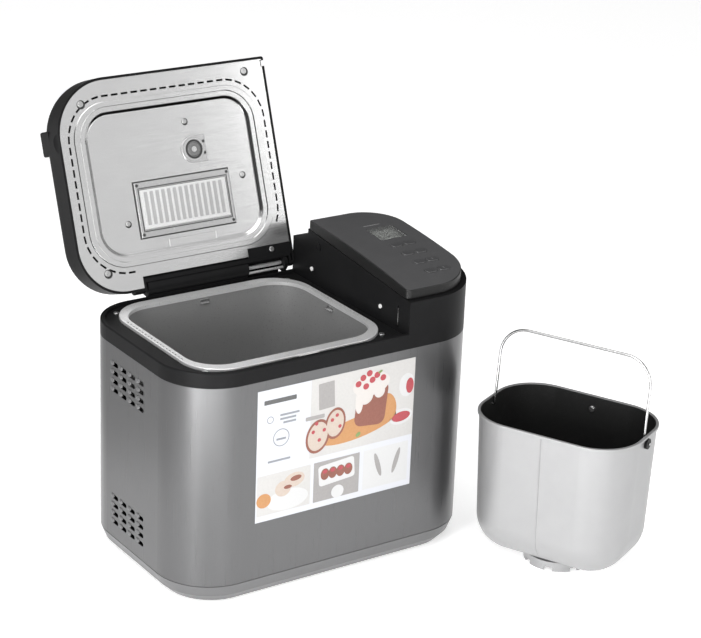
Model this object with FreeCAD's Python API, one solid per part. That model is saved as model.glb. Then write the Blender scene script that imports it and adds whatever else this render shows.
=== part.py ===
import FreeCAD, Part
import math
import os
from collections import namedtuple

# Bread machine with its lid open and its bread pan standing beside it.
# The machine is drawn about the middle of its footprint: +X to the control side, -Y to the front,
# +Z up from the table. The whole set is then moved so that the frame's origin is the middle
# of the footprint of everything that stands on the table. All sizes are in millimetres.

V = FreeCAD.Vector
AXIS_X = V(1, 0, 0)
AXIS_Y = V(0, 1, 0)
AXIS_Z = V(0, 0, 1)

# ---- body -------------------------------------------------------------------------------------
BODY_LENGTH = 408.0
BODY_DEPTH = 252.5
FRONT_CORNER = 68.5
REAR_CORNER = 61.0
FOOT_HEIGHT = 4.0
FOOT_RADIUS = 10.0
FOOT_INSET_X = 58.0
FOOT_INSET_Y = 48.0
BASE_HEIGHT = 24.0
BASE_TAPER_X = 16.0
BASE_TAPER_Y = 13.0
SEAM_HEIGHT = 0.8
SEAM_INSET = 1.6
SHELL_HEIGHT = 246.5
BAND_HEIGHT = 18.5
PLASTIC_WALL = 2.5
STEEL_WALL = 1.0
DECK_RIM_WIDTH = 5.5
DECK_LEDGE_DROP = 4.0
TOP_EDGE_RADIUS = 2.0

# ---- side vents ---------------------------------------------------------------------------------
VENT_COLUMNS = 4
VENT_ROWS = 4
VENT_LENGTH = 14.0
VENT_WIDTH = 5.6
VENT_PITCH_Y = 20.4
VENT_PITCH_Z = 10.8
VENT_CENTRE_Y = 13.0
VENT_HEIGHTS = (66.0, 236.3)

# ---- control tower ------------------------------------------------------------------------------
TOWER_LEFT = 90.0
TOWER_FRONT_RISE = 39.2
TOWER_SLOPE = 6.05
TOWER_BACK_INSET = 33.0
TOWER_HUMP_RISE = 56.0
TOWER_HUMP_END_RISE = 43.7
PANEL_INSET_FRONT = 6.5
PANEL_INSET_RIGHT = 8.0
PANEL_INSET_REAR = 35.0
PANEL_LIP = 12.0
PANEL_CROWN = 3.6
PANEL_FRONT_LEFT_RADIUS = 7.0
PANEL_FRONT_RADIUS = 60.0
PANEL_REAR_RADIUS = 50.0
PANEL_EDGE_RADIUS = 1.5
PANEL_WALL = 2.5

# ---- control panel furniture ----------------------------------------------------------------------
BUTTON_ROWS = 4
BUTTON_COLUMNS = 2
BUTTON_LENGTH = 16.0
BUTTON_WIDTH = 9.5
BUTTON_PITCH_X = 18.6
BUTTON_PITCH_V = 24.0
BUTTON_FIRST_V = 32.0
BUTTON_PROUD = 1.0
BUTTON_GAP = 0.3
BUTTON_PLAY = 0.5
BUTTON_TRAVEL = 1.0
BUTTON_FLANGE = 1.0
BUTTON_STEM = 3.0
PANEL_FURNITURE_X = 154.5
DISPLAY_LENGTH = 34.0
DISPLAY_WIDTH = 30.0
DISPLAY_CENTRE_V = 139.5
DISPLAY_BORDER = 2.5
DISPLAY_LENS = 1.2
STATUS_LENGTH = 24.0
STATUS_WIDTH = 1.6
STATUS_CENTRE_V = 166.0
BOARD_THICKNESS = 1.6

# ---- chamber ------------------------------------------------------------------------------------
RIM_LENGTH = 257.0
RIM_WIDTH = 231.0
RIM_CORNER = 49.0
RIM_FLAT_X = 8.2
RIM_FLAT_Y = 13.9
RIM_CENTRE_X = -51.5
RIM_TOP_DROP = 0.4
RIM_SKIRT = 4.5
RIM_SEAT = 3.0
CHAMBER_CLEARANCE = 0.2
CHAMBER_FLOOR = 92.0
CHAMBER_FILLET = 14.0
RIM_SLOT_LENGTH = 4.6
RIM_SLOT_WIDTH = 1.4
RIM_SLOT_PITCH = 7.0
HEATER_RADIUS = 3.3
HEATER_HEIGHT = 24.0
HEATER_WALL_GAP = 6.0
HEATER_LEAD_SPACING = 28.0
HEATER_LEAD_LENGTH = 18.0
HEATER_BEND = 9.0

# ---- drive --------------------------------------------------------------------------------------
PLATE_HEIGHT = 44.0
PLATE_THICKNESS = 2.0
DRIVE_SHAFT_RADIUS = 5.0
RUNNING_CLEARANCE = 0.05
PULLEY_RADIUS = 52.0
PINION_RADIUS = 11.0
PULLEY_HEIGHT = 12.0
PULLEY_BOTTOM = 22.0
PULLEY_FLANGE = 2.0
PULLEY_FLANGE_HEIGHT = 1.5
BELT_THICKNESS = 2.6
BELT_HEIGHT = 8.0
BELT_GAP = 0.3
MOTOR_OFFSET = 186.0
MOTOR_RADIUS = 37.0
MOTOR_HEIGHT = 68.0
MOTOR_SHAFT_RADIUS = 4.0
ROTOR_RADIUS = 22.0
ROTOR_HEIGHT = 40.0
COUPLING_RADIUS = 8.5
COUPLING_HEIGHT = 15.0
COUPLING_WING = 17.0
COUPLING_WING_THICKNESS = 4.0

# ---- lid ----------------------------------------------------------------------------------------
LID_GAP = 0.6
LID_THICKNESS = 40.6
LID_SIDE_GAP = 2.0
LID_OVERHANG = 5.0
LID_EDGE_RADIUS = 12.0
LID_OPEN_ANGLE = 109.65
HINGE_BEHIND = 2.05
HINGE_ABOVE_DECK = 10.5
HINGE_PIN_RADIUS = 2.5
HINGE_BARREL_RADIUS = 10.5
HINGE_BARREL_CLEARANCE = 1.5
HINGE_FOOT_REACH = 6.2
HINGE_LUG_RADIUS = 7.0
HINGE_LEFT = -118.0
HINGE_RIDGE_RIGHT = 22.0
HINGE_STAND_LEFT = 73.0
HINGE_STAND_WIDTH = 5.0
HINGE_END_GAP = 2.4
PLATE_SHEET = 1.0
PLATE_INSET = 3.2
PLATE_LIFT = 0.6
PLATE_NOTCH_V = 14.0
PLATE_BRACKET_V = 24.0
BEAD_OUTER = (-184.0, 70.0, 28.0, 226.0)
BEAD_WIDTH_X = 8.5
BEAD_WIDTH_V = 6.5
BEAD_CORNER = 46.0
BEAD_HEIGHT = 1.2
RECESS_DEPTH = 3.0
RECESS_BORDER = 4.5
SLOT_LENGTH = 9.0
SLOT_WIDTH = 2.4
SLOT_COUNT = 66
SLOT_OFFSET = 6.5
SCREW_RADIUS = 3.6
SCREW_HEAD = 1.6
SCREW_SHANK = 1.6

# ---- dispenser in the lid --------------------------------------------------------------------------
FRAME_BOX = (-115.0, 15.0, 59.0, 125.0)
FRAME_BORDER_X = 5.2
FRAME_BORDER_V = 8.8
FRAME_THICKNESS = 2.6
FLAP_GAP = 0.5
FLAP_THICKNESS = 1.6
FLAP_RIBS = 15
FLAP_RIB_WIDTH = 1.6
FLAP_RIB_HEIGHT = 1.1
FLAP_PIN_RADIUS = 1.2
HOPPER_WALL = 1.5
VALVE_CENTRE = (-27.0, 154.5)
VALVE_HOUSING_RADIUS = 16.3
VALVE_RADIUS = 8.6
HATCH_BOX = (-128.0, 28.0, 52.0, 186.0)
HATCH_CORNER = 14.0
HATCH_PROUD = 1.6
HATCH_GAP = 1.0
HATCH_REAR_CORNER = 2.0
HATCH_PIN_RADIUS = 1.0
HATCH_PIN_INSET = 3.5
GRIP_BOX = (171.0, 201.0)
GRIP_PROUD = 7.0
GRIP_BALL = 60.0
GRIP_DEPTH = 1.6
GRIP_REACH = 24.0

# ---- bread pan ----------------------------------------------------------------------------------
PAN_LENGTH = 207.7
PAN_WIDTH = 149.6
PAN_CORNER = 55.1
PAN_HEIGHT = 188.4
PAN_WALL = 1.5
PAN_RIM = 1.8
PAN_RIM_HEIGHT = 3.0
PAN_DRAFT = 5.9
PAN_BOTTOM_RADIUS = 42.0
PAN_LINING = 0.3
PAN_CENTRE = (264.9, -215.0)
PAN_TURN = -64.5
PEDESTAL_HEIGHT = 12.0
PEDESTAL_RADIUS = 41.0
PEDESTAL_WALL = 3.0
PEDESTAL_LUGS = 8
PAN_SHAFT_RADIUS = 4.0
PAN_BUSH_RADIUS = 11.0
PAN_BUSH_HEIGHT = 9.0
BLADE_REACH = 42.0
BLADE_HEIGHT = 34.0
BLADE_THICKNESS = 4.0
BLADE_HUB_RADIUS = 8.5
BLADE_LIFT = 0.6
BAIL_RADIUS = 1.6
BAIL_HEIGHT = 99.7
BAIL_CORNER = 34.0
BAIL_TILT = 6.5
BAIL_PIVOT_DROP = 10.0
BAIL_SIDE_GAP = 1.2
BAIL_CLIP_RADIUS = 6.5
BAIL_CLIP_THICKNESS = 3.0
BAIL_HOLE_GAP = 0.3

# ---- label --------------------------------------------------------------------------------------
LABEL_LEFT = -115.0
LABEL_RIGHT = 101.0
LABEL_BOTTOM = 100.0
LABEL_TOP = 263.5
LABEL_THICKNESS = 0.3

# ---- inlet --------------------------------------------------------------------------------------
GLAND_X = 118.0
GLAND_Z = 50.0
GLAND_BORE = 3.6
GLAND_RADIUS = 9.0
GLAND_NECK = 6.5
GLAND_LENGTH = 12.0
GLAND_PROUD = 5.0

# ---- levels and planes worked out from the sizes above --------------------------------------------
LEFT = -BODY_LENGTH / 2
RIGHT = BODY_LENGTH / 2
FRONT = -BODY_DEPTH / 2
REAR = BODY_DEPTH / 2
BASE_TOP = FOOT_HEIGHT + BASE_HEIGHT
SHELL_BOTTOM = BASE_TOP + SEAM_HEIGHT
SHELL_TOP = SHELL_BOTTOM + SHELL_HEIGHT
DECK = SHELL_TOP + BAND_HEIGHT
LEDGE = DECK - DECK_LEDGE_DROP
RIM_TOP = DECK - RIM_TOP_DROP
TOWER_TOP = DECK + TOWER_FRONT_RISE
PANEL_FRONT = FRONT + PANEL_INSET_FRONT
PANEL_REAR = REAR - PANEL_INSET_REAR
PANEL_CHORD = (PANEL_REAR - PANEL_FRONT) / math.cos(math.radians(TOWER_SLOPE))
LID_RIGHT = TOWER_LEFT - LID_SIDE_GAP
LID_BOTTOM = DECK + LID_GAP
LID_TOP = LID_BOTTOM + LID_THICKNESS
HINGE_Y = REAR + HINGE_BEHIND
HINGE_Z = DECK + HINGE_ABOVE_DECK
PLATE_BOTTOM = LID_BOTTOM + PLATE_LIFT
RECESS_FACE = PLATE_BOTTOM + RECESS_DEPTH
PLATE_TOP = PLATE_HEIGHT + PLATE_THICKNESS
MOTOR_X = RIM_CENTRE_X + MOTOR_OFFSET
PAN_INNER_HALF = PAN_LENGTH / 2 - PAN_RIM - PAN_WALL
BAIL_HALF_SPAN = PAN_INNER_HALF - BAIL_SIDE_GAP - BAIL_RADIUS
BAIL_PIVOT = PAN_HEIGHT - BAIL_PIVOT_DROP

Plan = namedtuple("Plan", "x0 x1 y0 y1 front_left front_right rear_right rear_left")
BODY_PLAN = Plan(LEFT, RIGHT, FRONT, REAR, FRONT_CORNER, FRONT_CORNER, REAR_CORNER, REAR_CORNER)


# ---- drawing helpers ------------------------------------------------------------------------------
def shrink(plan, x, y=None):
    """A plan outline moved inwards by x at its ends and y at its front and rear."""
    y = x if y is None else y
    step = min(x, y) if x > 0 else max(x, y)
    corners = [max(r - step, 0.3) if r > 0 else 0 for r in plan[4:]]
    return Plan(plan.x0 + x, plan.x1 - x, plan.y0 + y, plan.y1 - y, *corners)


def box_plan(x0, x1, y0, y1, corner):
    """A rounded rectangle with the same radius at its four corners."""
    return Plan(x0, x1, y0, y1, corner, corner, corner, corner)


def corner_arc(centre, radius, start, z):
    """A quarter circle from the angle start, in degrees, at height z."""
    points = []
    for turn in (0, 45, 90):
        angle = math.radians(start + turn)
        points.append(V(centre[0] + radius * math.cos(angle), centre[1] + radius * math.sin(angle), z))
    return points


def outline(plan, z):
    """The closed wire of a plan at height z, anticlockwise from its front left corner."""
    corners = (
        (plan.x0, plan.y0, 1, 1, plan.front_left, 180),
        (plan.x1, plan.y0, -1, 1, plan.front_right, 270),
        (plan.x1, plan.y1, -1, -1, plan.rear_right, 0),
        (plan.x0, plan.y1, 1, -1, plan.rear_left, 90),
    )
    arcs = []
    for x, y, into_x, into_y, radius, start in corners:
        centre = (x + into_x * radius, y + into_y * radius)
        arcs.append(corner_arc(centre, radius, start, z) if radius > 0 else [V(x, y, z)])
    edges = []
    for index, arc in enumerate(arcs):
        if len(arc) == 3:
            edges.append(Part.Arc(*arc).toShape())
        following = arcs[(index + 1) % 4][0]
        if arc[-1].distanceToPoint(following) > 1e-6:
            edges.append(Part.LineSegment(arc[-1], following).toShape())
    return Part.Wire(edges)


def prism(plan, low, high):
    """An upright solid between two heights."""
    return Part.Face(outline(plan, low)).extrude(V(0, 0, high - low))


def tapered(sections):
    """A solid through (plan, height) sections, each ruled to the next."""
    return Part.makeLoft([outline(plan, z) for plan, z in sections], True, True)


def smooth_loft(sections):
    """A solid through (plan, height) sections on one smooth skin."""
    return Part.makeLoft([outline(plan, z) for plan, z in sections], True, False)


def tube(outer, inner, length, base, axis=AXIS_Z):
    """A round tube, or a rod where inner is 0."""
    body = Part.makeCylinder(outer, length, base, axis)
    return body.cut(Part.makeCylinder(inner, length, base, axis)) if inner > 0 else body


def block(x0, x1, y0, y1, z0, z1):
    """A box between two corners."""
    return Part.makeBox(x1 - x0, y1 - y0, z1 - z0, V(x0, y0, z0))


def joined(shapes):
    """One solid from shapes that touch or cross."""
    first, rest = shapes[0], shapes[1:]
    return (first.fuse(rest) if rest else first).removeSplitter()


def group(shapes):
    """Separate solids kept together in one node."""
    return Part.makeCompound(shapes)


def side_profile(points, x0, x1):
    """A solid with a given outline in the YZ plane, between two planes across X."""
    wire = Part.makePolygon([V(x0, y, z) for y, z in points + points[:1]])
    return Part.Face(wire).extrude(V(x1 - x0, 0, 0))


def filleted(shape, radius, wanted):
    """A shape with the edges that wanted(edge) accepts rounded."""
    edges = [edge for edge in shape.Edges if wanted(edge)]
    return shape.makeFillet(radius, edges) if edges and radius > 0 else shape


def at_height(z):
    """A test for edges that lie at one height."""
    return lambda edge: all(abs(v.Z - z) < 1e-4 for v in edge.Vertexes) and edge.BoundBox.ZLength < 1e-3


def bent_path(points, radii):
    """A wire of straight runs joined by tangent arcs, with a radius for each inner point."""
    edges = []
    start = points[0]
    for before, corner, after, radius in zip(points, points[1:], points[2:], radii):
        arrive = (corner - before).normalize()
        leave = (after - corner).normalize()
        turn = arrive.getAngle(leave)
        reach = radius * math.tan(turn / 2)
        first = corner - arrive * reach
        last = corner + leave * reach
        inward = (leave - arrive).normalize()
        middle = corner + inward * (radius / math.cos(turn / 2) - radius)
        if start.distanceToPoint(first) > 1e-6:
            edges.append(Part.LineSegment(start, first).toShape())
        edges.append(Part.Arc(first, middle, last).toShape())
        start = last
    edges.append(Part.LineSegment(start, points[-1]).toShape())
    return Part.Wire(edges)


def wire_rod(points, radii, radius):
    """A round rod along a bent path."""
    path = bent_path(points, radii)
    circle = Part.Circle(points[0], points[1] - points[0], radius).toShape()
    return path.makePipeShell([Part.Wire(circle)], True, False)


def screw(x, y, z, up, shank=6.0, head_radius=SCREW_RADIUS):
    """A pan head screw whose head sits on height z and stands towards up (+1 or -1)."""
    axis = V(0, 0, up)
    head = Part.makeCylinder(head_radius, SCREW_HEAD, V(x, y, z), axis)
    head = filleted(head, SCREW_HEAD * 0.45, at_height(z + up * SCREW_HEAD))
    cross = block(x - 2.0, x + 2.0, y - 0.4, y + 0.4, 0, 0.8)
    other = block(x - 0.4, x + 0.4, y - 2.0, y + 2.0, 0, 0.8)
    slot = joined([cross, other])
    slot.translate(V(0, 0, z + up * SCREW_HEAD - (0.8 if up > 0 else 0)))
    return head.cut(slot).fuse(Part.makeCylinder(SCREW_SHANK, shank, V(x, y, z), -axis))


def screw_hole(x, y, z, up, depth):
    """The hole that a screw's shank passes through."""
    return Part.makeCylinder(SCREW_SHANK + RUNNING_CLEARANCE, depth, V(x, y, z), V(0, 0, -up))


# ---- body -------------------------------------------------------------------------------------
def foot_places():
    for x in (LEFT + FOOT_INSET_X, RIGHT - FOOT_INSET_X):
        for y in (FRONT + FOOT_INSET_Y, REAR - FOOT_INSET_Y):
            yield x, y


def post_places():
    for x, y in ((RIM_CENTRE_X - 92.0, 48.0), (MOTOR_X + 34.0, 70.0)):
        yield x, -y
        yield x, y


def base_pan():
    low = shrink(BODY_PLAN, BASE_TAPER_X, BASE_TAPER_Y)
    middle = shrink(BODY_PLAN, BASE_TAPER_X * 0.34, BASE_TAPER_Y * 0.34)
    outer = tapered([(low, FOOT_HEIGHT), (middle, FOOT_HEIGHT + BASE_HEIGHT * 0.42), (BODY_PLAN, BASE_TOP)])
    step = prism(shrink(BODY_PLAN, SEAM_INSET), BASE_TOP, SHELL_BOTTOM)
    wall = PLASTIC_WALL
    hollow = tapered(
        [
            (shrink(low, wall), FOOT_HEIGHT + wall),
            (shrink(middle, wall), FOOT_HEIGHT + BASE_HEIGHT * 0.42),
            (shrink(BODY_PLAN, wall + SEAM_INSET), BASE_TOP),
        ]
    )
    mouth = prism(shrink(BODY_PLAN, wall + SEAM_INSET), BASE_TOP, SHELL_BOTTOM)
    pan = joined([outer, step]).cut(joined([hollow, mouth]))
    holes = [screw_hole(x, y, FOOT_HEIGHT, -1, wall) for x, y in post_places()]
    for row in range(5):
        y = -40.0 + row * 20.0
        slot = box_plan(MOTOR_X - 30.0, MOTOR_X + 22.0, y - 2.0, y + 2.0, 1.9)
        holes.append(prism(slot, FOOT_HEIGHT, FOOT_HEIGHT + wall))
    return pan.cut(holes)


def feet():
    solids = []
    for x, y in foot_places():
        foot = Part.makeCylinder(FOOT_RADIUS, FOOT_HEIGHT, V(x, y, 0))
        foot = filleted(foot, 0.8, at_height(0))
        solids.append(foot)
    return group(solids)


def vent_slots(x, reach):
    """The four by four grids of louvre slots in one end of the shell."""
    slots = []
    half = VENT_WIDTH / 2
    for height in VENT_HEIGHTS:
        for column in range(VENT_COLUMNS):
            for row in range(VENT_ROWS):
                y = VENT_CENTRE_Y + (column - (VENT_COLUMNS - 1) / 2) * VENT_PITCH_Y
                z = height + (row - (VENT_ROWS - 1) / 2) * VENT_PITCH_Z
                plan = box_plan(y - VENT_LENGTH / 2, y + VENT_LENGTH / 2, -half, half, half * 0.98)
                slot = prism(plan, 0, reach)
                slot.rotate(V(0, 0, 0), V(1, 1, 1), 120)
                slot.translate(V(x, 0, z))
                slots.append(slot)
    return slots


def gland_hole(length):
    return Part.makeCylinder(GLAND_NECK, length, V(GLAND_X, REAR + 1.0, GLAND_Z), V(0, -1, 0))


def body_shell():
    outer = prism(BODY_PLAN, SHELL_BOTTOM, SHELL_TOP)
    inner = prism(shrink(BODY_PLAN, STEEL_WALL), SHELL_BOTTOM, SHELL_TOP)
    cuts = [inner] + vent_slots(LEFT - 1.0, STEEL_WALL + 2.0) + vent_slots(RIGHT - STEEL_WALL - 1.0, 3.0)
    return outer.cut(cuts + [gland_hole(STEEL_WALL + 2.0)])


def tower_profile(inset, foot):
    """The tower's side outline, drawn inwards by inset, from a height foot upwards."""
    rise = math.tan(math.radians(TOWER_SLOPE))
    back = REAR - TOWER_BACK_INSET
    top_front = TOWER_TOP + rise * inset - inset
    top_back = TOWER_TOP + rise * (back - inset - FRONT) - inset
    return [
        (FRONT + inset, foot),
        (FRONT + inset, top_front),
        (back - inset, top_back),
        (back - inset * 0.6, DECK + TOWER_HUMP_RISE - inset),
        (REAR - inset, DECK + TOWER_HUMP_END_RISE - inset),
        (REAR - inset, foot),
    ]


def tower_solid(inset, foot):
    profile = side_profile(tower_profile(inset, foot), TOWER_LEFT + inset, RIGHT)
    return profile.common(prism(shrink(BODY_PLAN, inset), foot - 1.0, TOWER_TOP + BODY_DEPTH))


def rim_plan():
    half = RIM_LENGTH / 2
    return box_plan(RIM_CENTRE_X - half, RIM_CENTRE_X + half, -RIM_WIDTH / 2, RIM_WIDTH / 2, RIM_CORNER)


def rim_opening():
    return shrink(rim_plan(), RIM_FLAT_X, RIM_FLAT_Y)


def deck_screw_places():
    for side in (-1, 1):
        for end in (-1, 1):
            yield RIM_CENTRE_X + side * (RIM_LENGTH / 2 - 9.3), end * (RIM_WIDTH / 2 - 12.5)


def hinge_ridge():
    """The barrel on the rear deck that holds both hinge pins, and the stand at its right."""
    pieces = []
    spans = (
        (HINGE_LEFT, HINGE_RIDGE_RIGHT, HINGE_BARREL_RADIUS),
        (HINGE_STAND_LEFT, HINGE_STAND_LEFT + HINGE_STAND_WIDTH, HINGE_BARREL_RADIUS),
    )
    for left, right, radius in spans:
        barrel = Part.makeCylinder(radius, right - left, V(left, HINGE_Y, HINGE_Z), AXIS_X)
        pieces.append(barrel)
        foot_front = HINGE_Y - HINGE_FOOT_REACH
        pieces.append(block(left, right, foot_front, REAR, LEDGE - PLASTIC_WALL, HINGE_Z))
    return pieces


def lever_slot():
    """The upright slot in the tower's left wall beside the lid's front corner."""
    plan = box_plan(TOWER_LEFT - 1.0, TOWER_LEFT + PLASTIC_WALL + 1.0, -103.4, -101.0, 0)
    return prism(plan, DECK + 1.5, DECK + 28.0)


def top_housing():
    band = filleted(prism(BODY_PLAN, SHELL_TOP, DECK), TOP_EDGE_RADIUS, at_height(DECK))
    recess = shrink(BODY_PLAN, DECK_RIM_WIDTH)._replace(x1=TOWER_LEFT, front_right=0, rear_right=0)
    band = band.cut(prism(recess, LEDGE, DECK + 1.0))
    hollow = prism(shrink(BODY_PLAN, PLASTIC_WALL), SHELL_TOP, LEDGE - PLASTIC_WALL)
    body = joined([band, tower_solid(0.0, LEDGE)] + hinge_ridge())
    body = body.cut([hollow, tower_solid(PLASTIC_WALL, LEDGE - PLASTIC_WALL - 1.0)])
    body = body.fuse(tower_cap())
    aperture = panel_plan(PANEL_WALL + 4.0)
    cuts = [prism(aperture, TOWER_TOP - 25.0, TOWER_TOP + 60.0)]
    cuts.append(prism(shrink(rim_plan(), RIM_SEAT), LEDGE - PLASTIC_WALL - 1.0, LEDGE + 1.0))
    cuts += [screw_hole(x, y, LEDGE, 1, 4.0) for x, y in deck_screw_places()]
    cuts.append(hinge_pin_bore(HINGE_PIN_RADIUS + RUNNING_CLEARANCE))
    cuts.append(stop_rod_bore(STOP_ROD_RADIUS + RUNNING_CLEARANCE))
    cuts.append(lever_slot())
    return body.cut(cuts)


STOP_ROD_RADIUS = 1.6
STOP_ROD_Y = HINGE_Y - 5.6
STOP_ROD_Z = HINGE_Z - 4.6
PIN_LEFT_SPAN = (HINGE_LEFT - 14.0, HINGE_LEFT + 16.0)
PIN_RIGHT_SPAN = (HINGE_RIDGE_RIGHT - 10.0, LID_RIGHT - 1.0)


def hinge_pin_bore(radius):
    """Both stretches of the hinge axis, as solid rods of a given radius."""
    rods = []
    for low, high in (PIN_LEFT_SPAN, PIN_RIGHT_SPAN):
        rods.append(Part.makeCylinder(radius, high - low, V(low, HINGE_Y, HINGE_Z), AXIS_X))
    return group(rods)


def hinge_pins():
    """Both hinge pins and the rod beside them that stops the open lid."""
    rods = hinge_pin_bore(HINGE_PIN_RADIUS).Solids
    return group(rods + [stop_rod_bore(STOP_ROD_RADIUS)])


def stop_rod_bore(radius):
    low = HINGE_RIDGE_RIGHT - 6.0
    high = HINGE_STAND_LEFT + HINGE_STAND_WIDTH - 1.0
    return Part.makeCylinder(radius, high - low, V(low, STOP_ROD_Y, STOP_ROD_Z), AXIS_X)


def machine_screws():
    """The screws in the sunk deck and those under the base."""
    deck = [screw(x, y, LEDGE, 1) for x, y in deck_screw_places()]
    return group(deck + [screw(x, y, FOOT_HEIGHT, -1, 9.0) for x, y in post_places()])


def lid_buffers():
    """The buffer at the front of the deck and the two that guide the lid's right edge."""
    plan = box_plan(-56.0, -28.0, FRONT + DECK_RIM_WIDTH + 1.0, -RIM_WIDTH / 2 - 1.0, 1.4)
    solids = [filleted(prism(plan, LEDGE, DECK - 1.0), 0.8, at_height(DECK - 1.0))]
    for y, z in ((81.9, 307.7), (-66.7, 308.9)):
        solids.append(Part.makeCylinder(2.6, 1.2, V(TOWER_LEFT, y, z), V(-1, 0, 0)))
    return group(solids)


def tower_cap():
    """The round cap over the screw at the top of the tower's left wall."""
    ring = tube(6.0, 3.4, 0.8, V(TOWER_LEFT, 70.2, 339.5), V(-1, 0, 0))
    return ring.fuse(Part.makeCylinder(3.4, 0.4, V(TOWER_LEFT, 70.2, 339.5), V(-1, 0, 0))).removeSplitter()


def front_label():
    return block(LABEL_LEFT, LABEL_RIGHT, FRONT - LABEL_THICKNESS, FRONT, LABEL_BOTTOM, LABEL_TOP)


def cord_gland():
    """The open bush in the rear wall that the supply cord would leave by."""
    outer = Part.makeCylinder(GLAND_RADIUS, GLAND_PROUD, V(GLAND_X, REAR, GLAND_Z), AXIS_Y)
    outer = filleted(outer, 2.0, lambda e: e.BoundBox.YMin > REAR + GLAND_PROUD - 1e-3)
    neck_length = GLAND_LENGTH - GLAND_PROUD
    neck_radius = GLAND_NECK - RUNNING_CLEARANCE
    neck = Part.makeCylinder(neck_radius, neck_length, V(GLAND_X, REAR - neck_length, GLAND_Z), AXIS_Y)
    bore = Part.makeCylinder(GLAND_BORE, GLAND_LENGTH, V(GLAND_X, REAR - neck_length, GLAND_Z), AXIS_Y)
    return outer.fuse(neck).cut(bore)


# ---- chamber ------------------------------------------------------------------------------------
def chamber_plan():
    return shrink(rim_opening(), -(PLATE_SHEET + CHAMBER_CLEARANCE))


def chamber():
    inner = chamber_plan()
    outer = shrink(inner, -STEEL_WALL)
    top = RIM_TOP - PLATE_SHEET
    bottom = CHAMBER_FLOOR - STEEL_WALL
    body = filleted(prism(outer, bottom, top), CHAMBER_FILLET + STEEL_WALL, at_height(bottom))
    hollow = filleted(prism(inner, CHAMBER_FLOOR, top), CHAMBER_FILLET, at_height(CHAMBER_FLOOR))
    cuts = [hollow, Part.makeCylinder(DRIVE_SHAFT_RADIUS + 1.5, 4.0, V(RIM_CENTRE_X, 0, bottom - 1.0))]
    for side in (-1, 1):
        start = V(inner.x1 - 3.0, side * HEATER_LEAD_SPACING / 2, CHAMBER_FLOOR + HEATER_HEIGHT)
        cuts.append(Part.makeCylinder(HEATER_RADIUS + 0.4, 8.0, start, AXIS_X))
    cuts.append(Part.makeCylinder(SENSOR_RADIUS + 0.1, 8.0, V(inner.x1 - 3.0, 46.0, SENSOR_Z), AXIS_X))
    return body.cut(cuts)


SENSOR_RADIUS = 3.0
SENSOR_Z = 210.0


def temperature_sensor():
    """A probe through the chamber's right wall, with the flange that holds it."""
    wall = chamber_plan().x1
    probe = Part.makeCylinder(SENSOR_RADIUS, 22.0, V(wall - 9.0, 46.0, SENSOR_Z), AXIS_X)
    flange = tube(7.0, SENSOR_RADIUS, 2.0, V(wall + STEEL_WALL, 46.0, SENSOR_Z), AXIS_X)
    return probe.fuse(flange).removeSplitter()


def chamber_rim():
    """The folded bright rim: a flat top with a skirt at its outer and inner edges."""
    top = RIM_TOP
    sheet = PLATE_SHEET
    outer = rim_plan()
    opening = rim_opening()
    body = filleted(prism(outer, LEDGE, top), 0.8, at_height(top))
    hollow = prism(shrink(outer, sheet), LEDGE, top - sheet)
    inner_skirt = prism(shrink(opening, -sheet), top - RIM_SKIRT, top)
    body = body.cut(hollow).fuse(inner_skirt)
    body = body.cut(prism(opening, top - RIM_SKIRT - 1.0, top + 1.0))
    slots = []
    count = int((RIM_WIDTH - 2 * RIM_CORNER) / RIM_SLOT_PITCH)
    for side in (-1, 1):
        x = RIM_CENTRE_X + side * (RIM_LENGTH / 2 - 3.4)
        for index in range(count):
            y = (index - (count - 1) / 2) * RIM_SLOT_PITCH
            slots.append(
                block(
                    x - RIM_SLOT_WIDTH / 2,
                    x + RIM_SLOT_WIDTH / 2,
                    y - RIM_SLOT_LENGTH / 2,
                    y + RIM_SLOT_LENGTH / 2,
                    top - sheet - 0.5,
                    top + 0.5,
                )
            )
    return body.cut(slots)


def wall_clips():
    """The small spring clips on the chamber's rear and right walls that steady the pan."""
    inner = chamber_plan()
    z = RIM_TOP - RIM_SKIRT - 8.0
    leaf = block(-50.2 - 6.0, -50.2 + 6.0, inner.y1 - 1.0, inner.y1, z, z + 5.0)
    nose = block(-50.2 - 6.0, -50.2 + 6.0, inner.y1 - 3.6, inner.y1 - 1.0, z, z + 1.0)
    rear = leaf.fuse(nose).removeSplitter()
    leaf = block(inner.x1 - 1.0, inner.x1, 4.0, 16.0, z, z + 5.0)
    nose = block(inner.x1 - 3.6, inner.x1 - 1.0, 4.0, 16.0, z, z + 1.0)
    return [rear, leaf.fuse(nose).removeSplitter()]


def heater_plan():
    return shrink(chamber_plan(), HEATER_WALL_GAP + HEATER_RADIUS)


def heater_element():
    """The sheathed loop round the foot of the chamber, with both leads out to the right."""
    plan = heater_plan()
    z = CHAMBER_FLOOR + HEATER_HEIGHT
    end = chamber_plan().x1 + HEATER_LEAD_LENGTH
    half = HEATER_LEAD_SPACING / 2
    points = [
        V(end, -half, z),
        V(plan.x1, -half, z),
        V(plan.x1, plan.y0, z),
        V(plan.x0, plan.y0, z),
        V(plan.x0, plan.y1, z),
        V(plan.x1, plan.y1, z),
        V(plan.x1, half, z),
        V(end, half, z),
    ]
    radii = [HEATER_BEND] + [plan.front_left] * 4 + [HEATER_BEND]
    return wire_rod(points, radii, HEATER_RADIUS)


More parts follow.
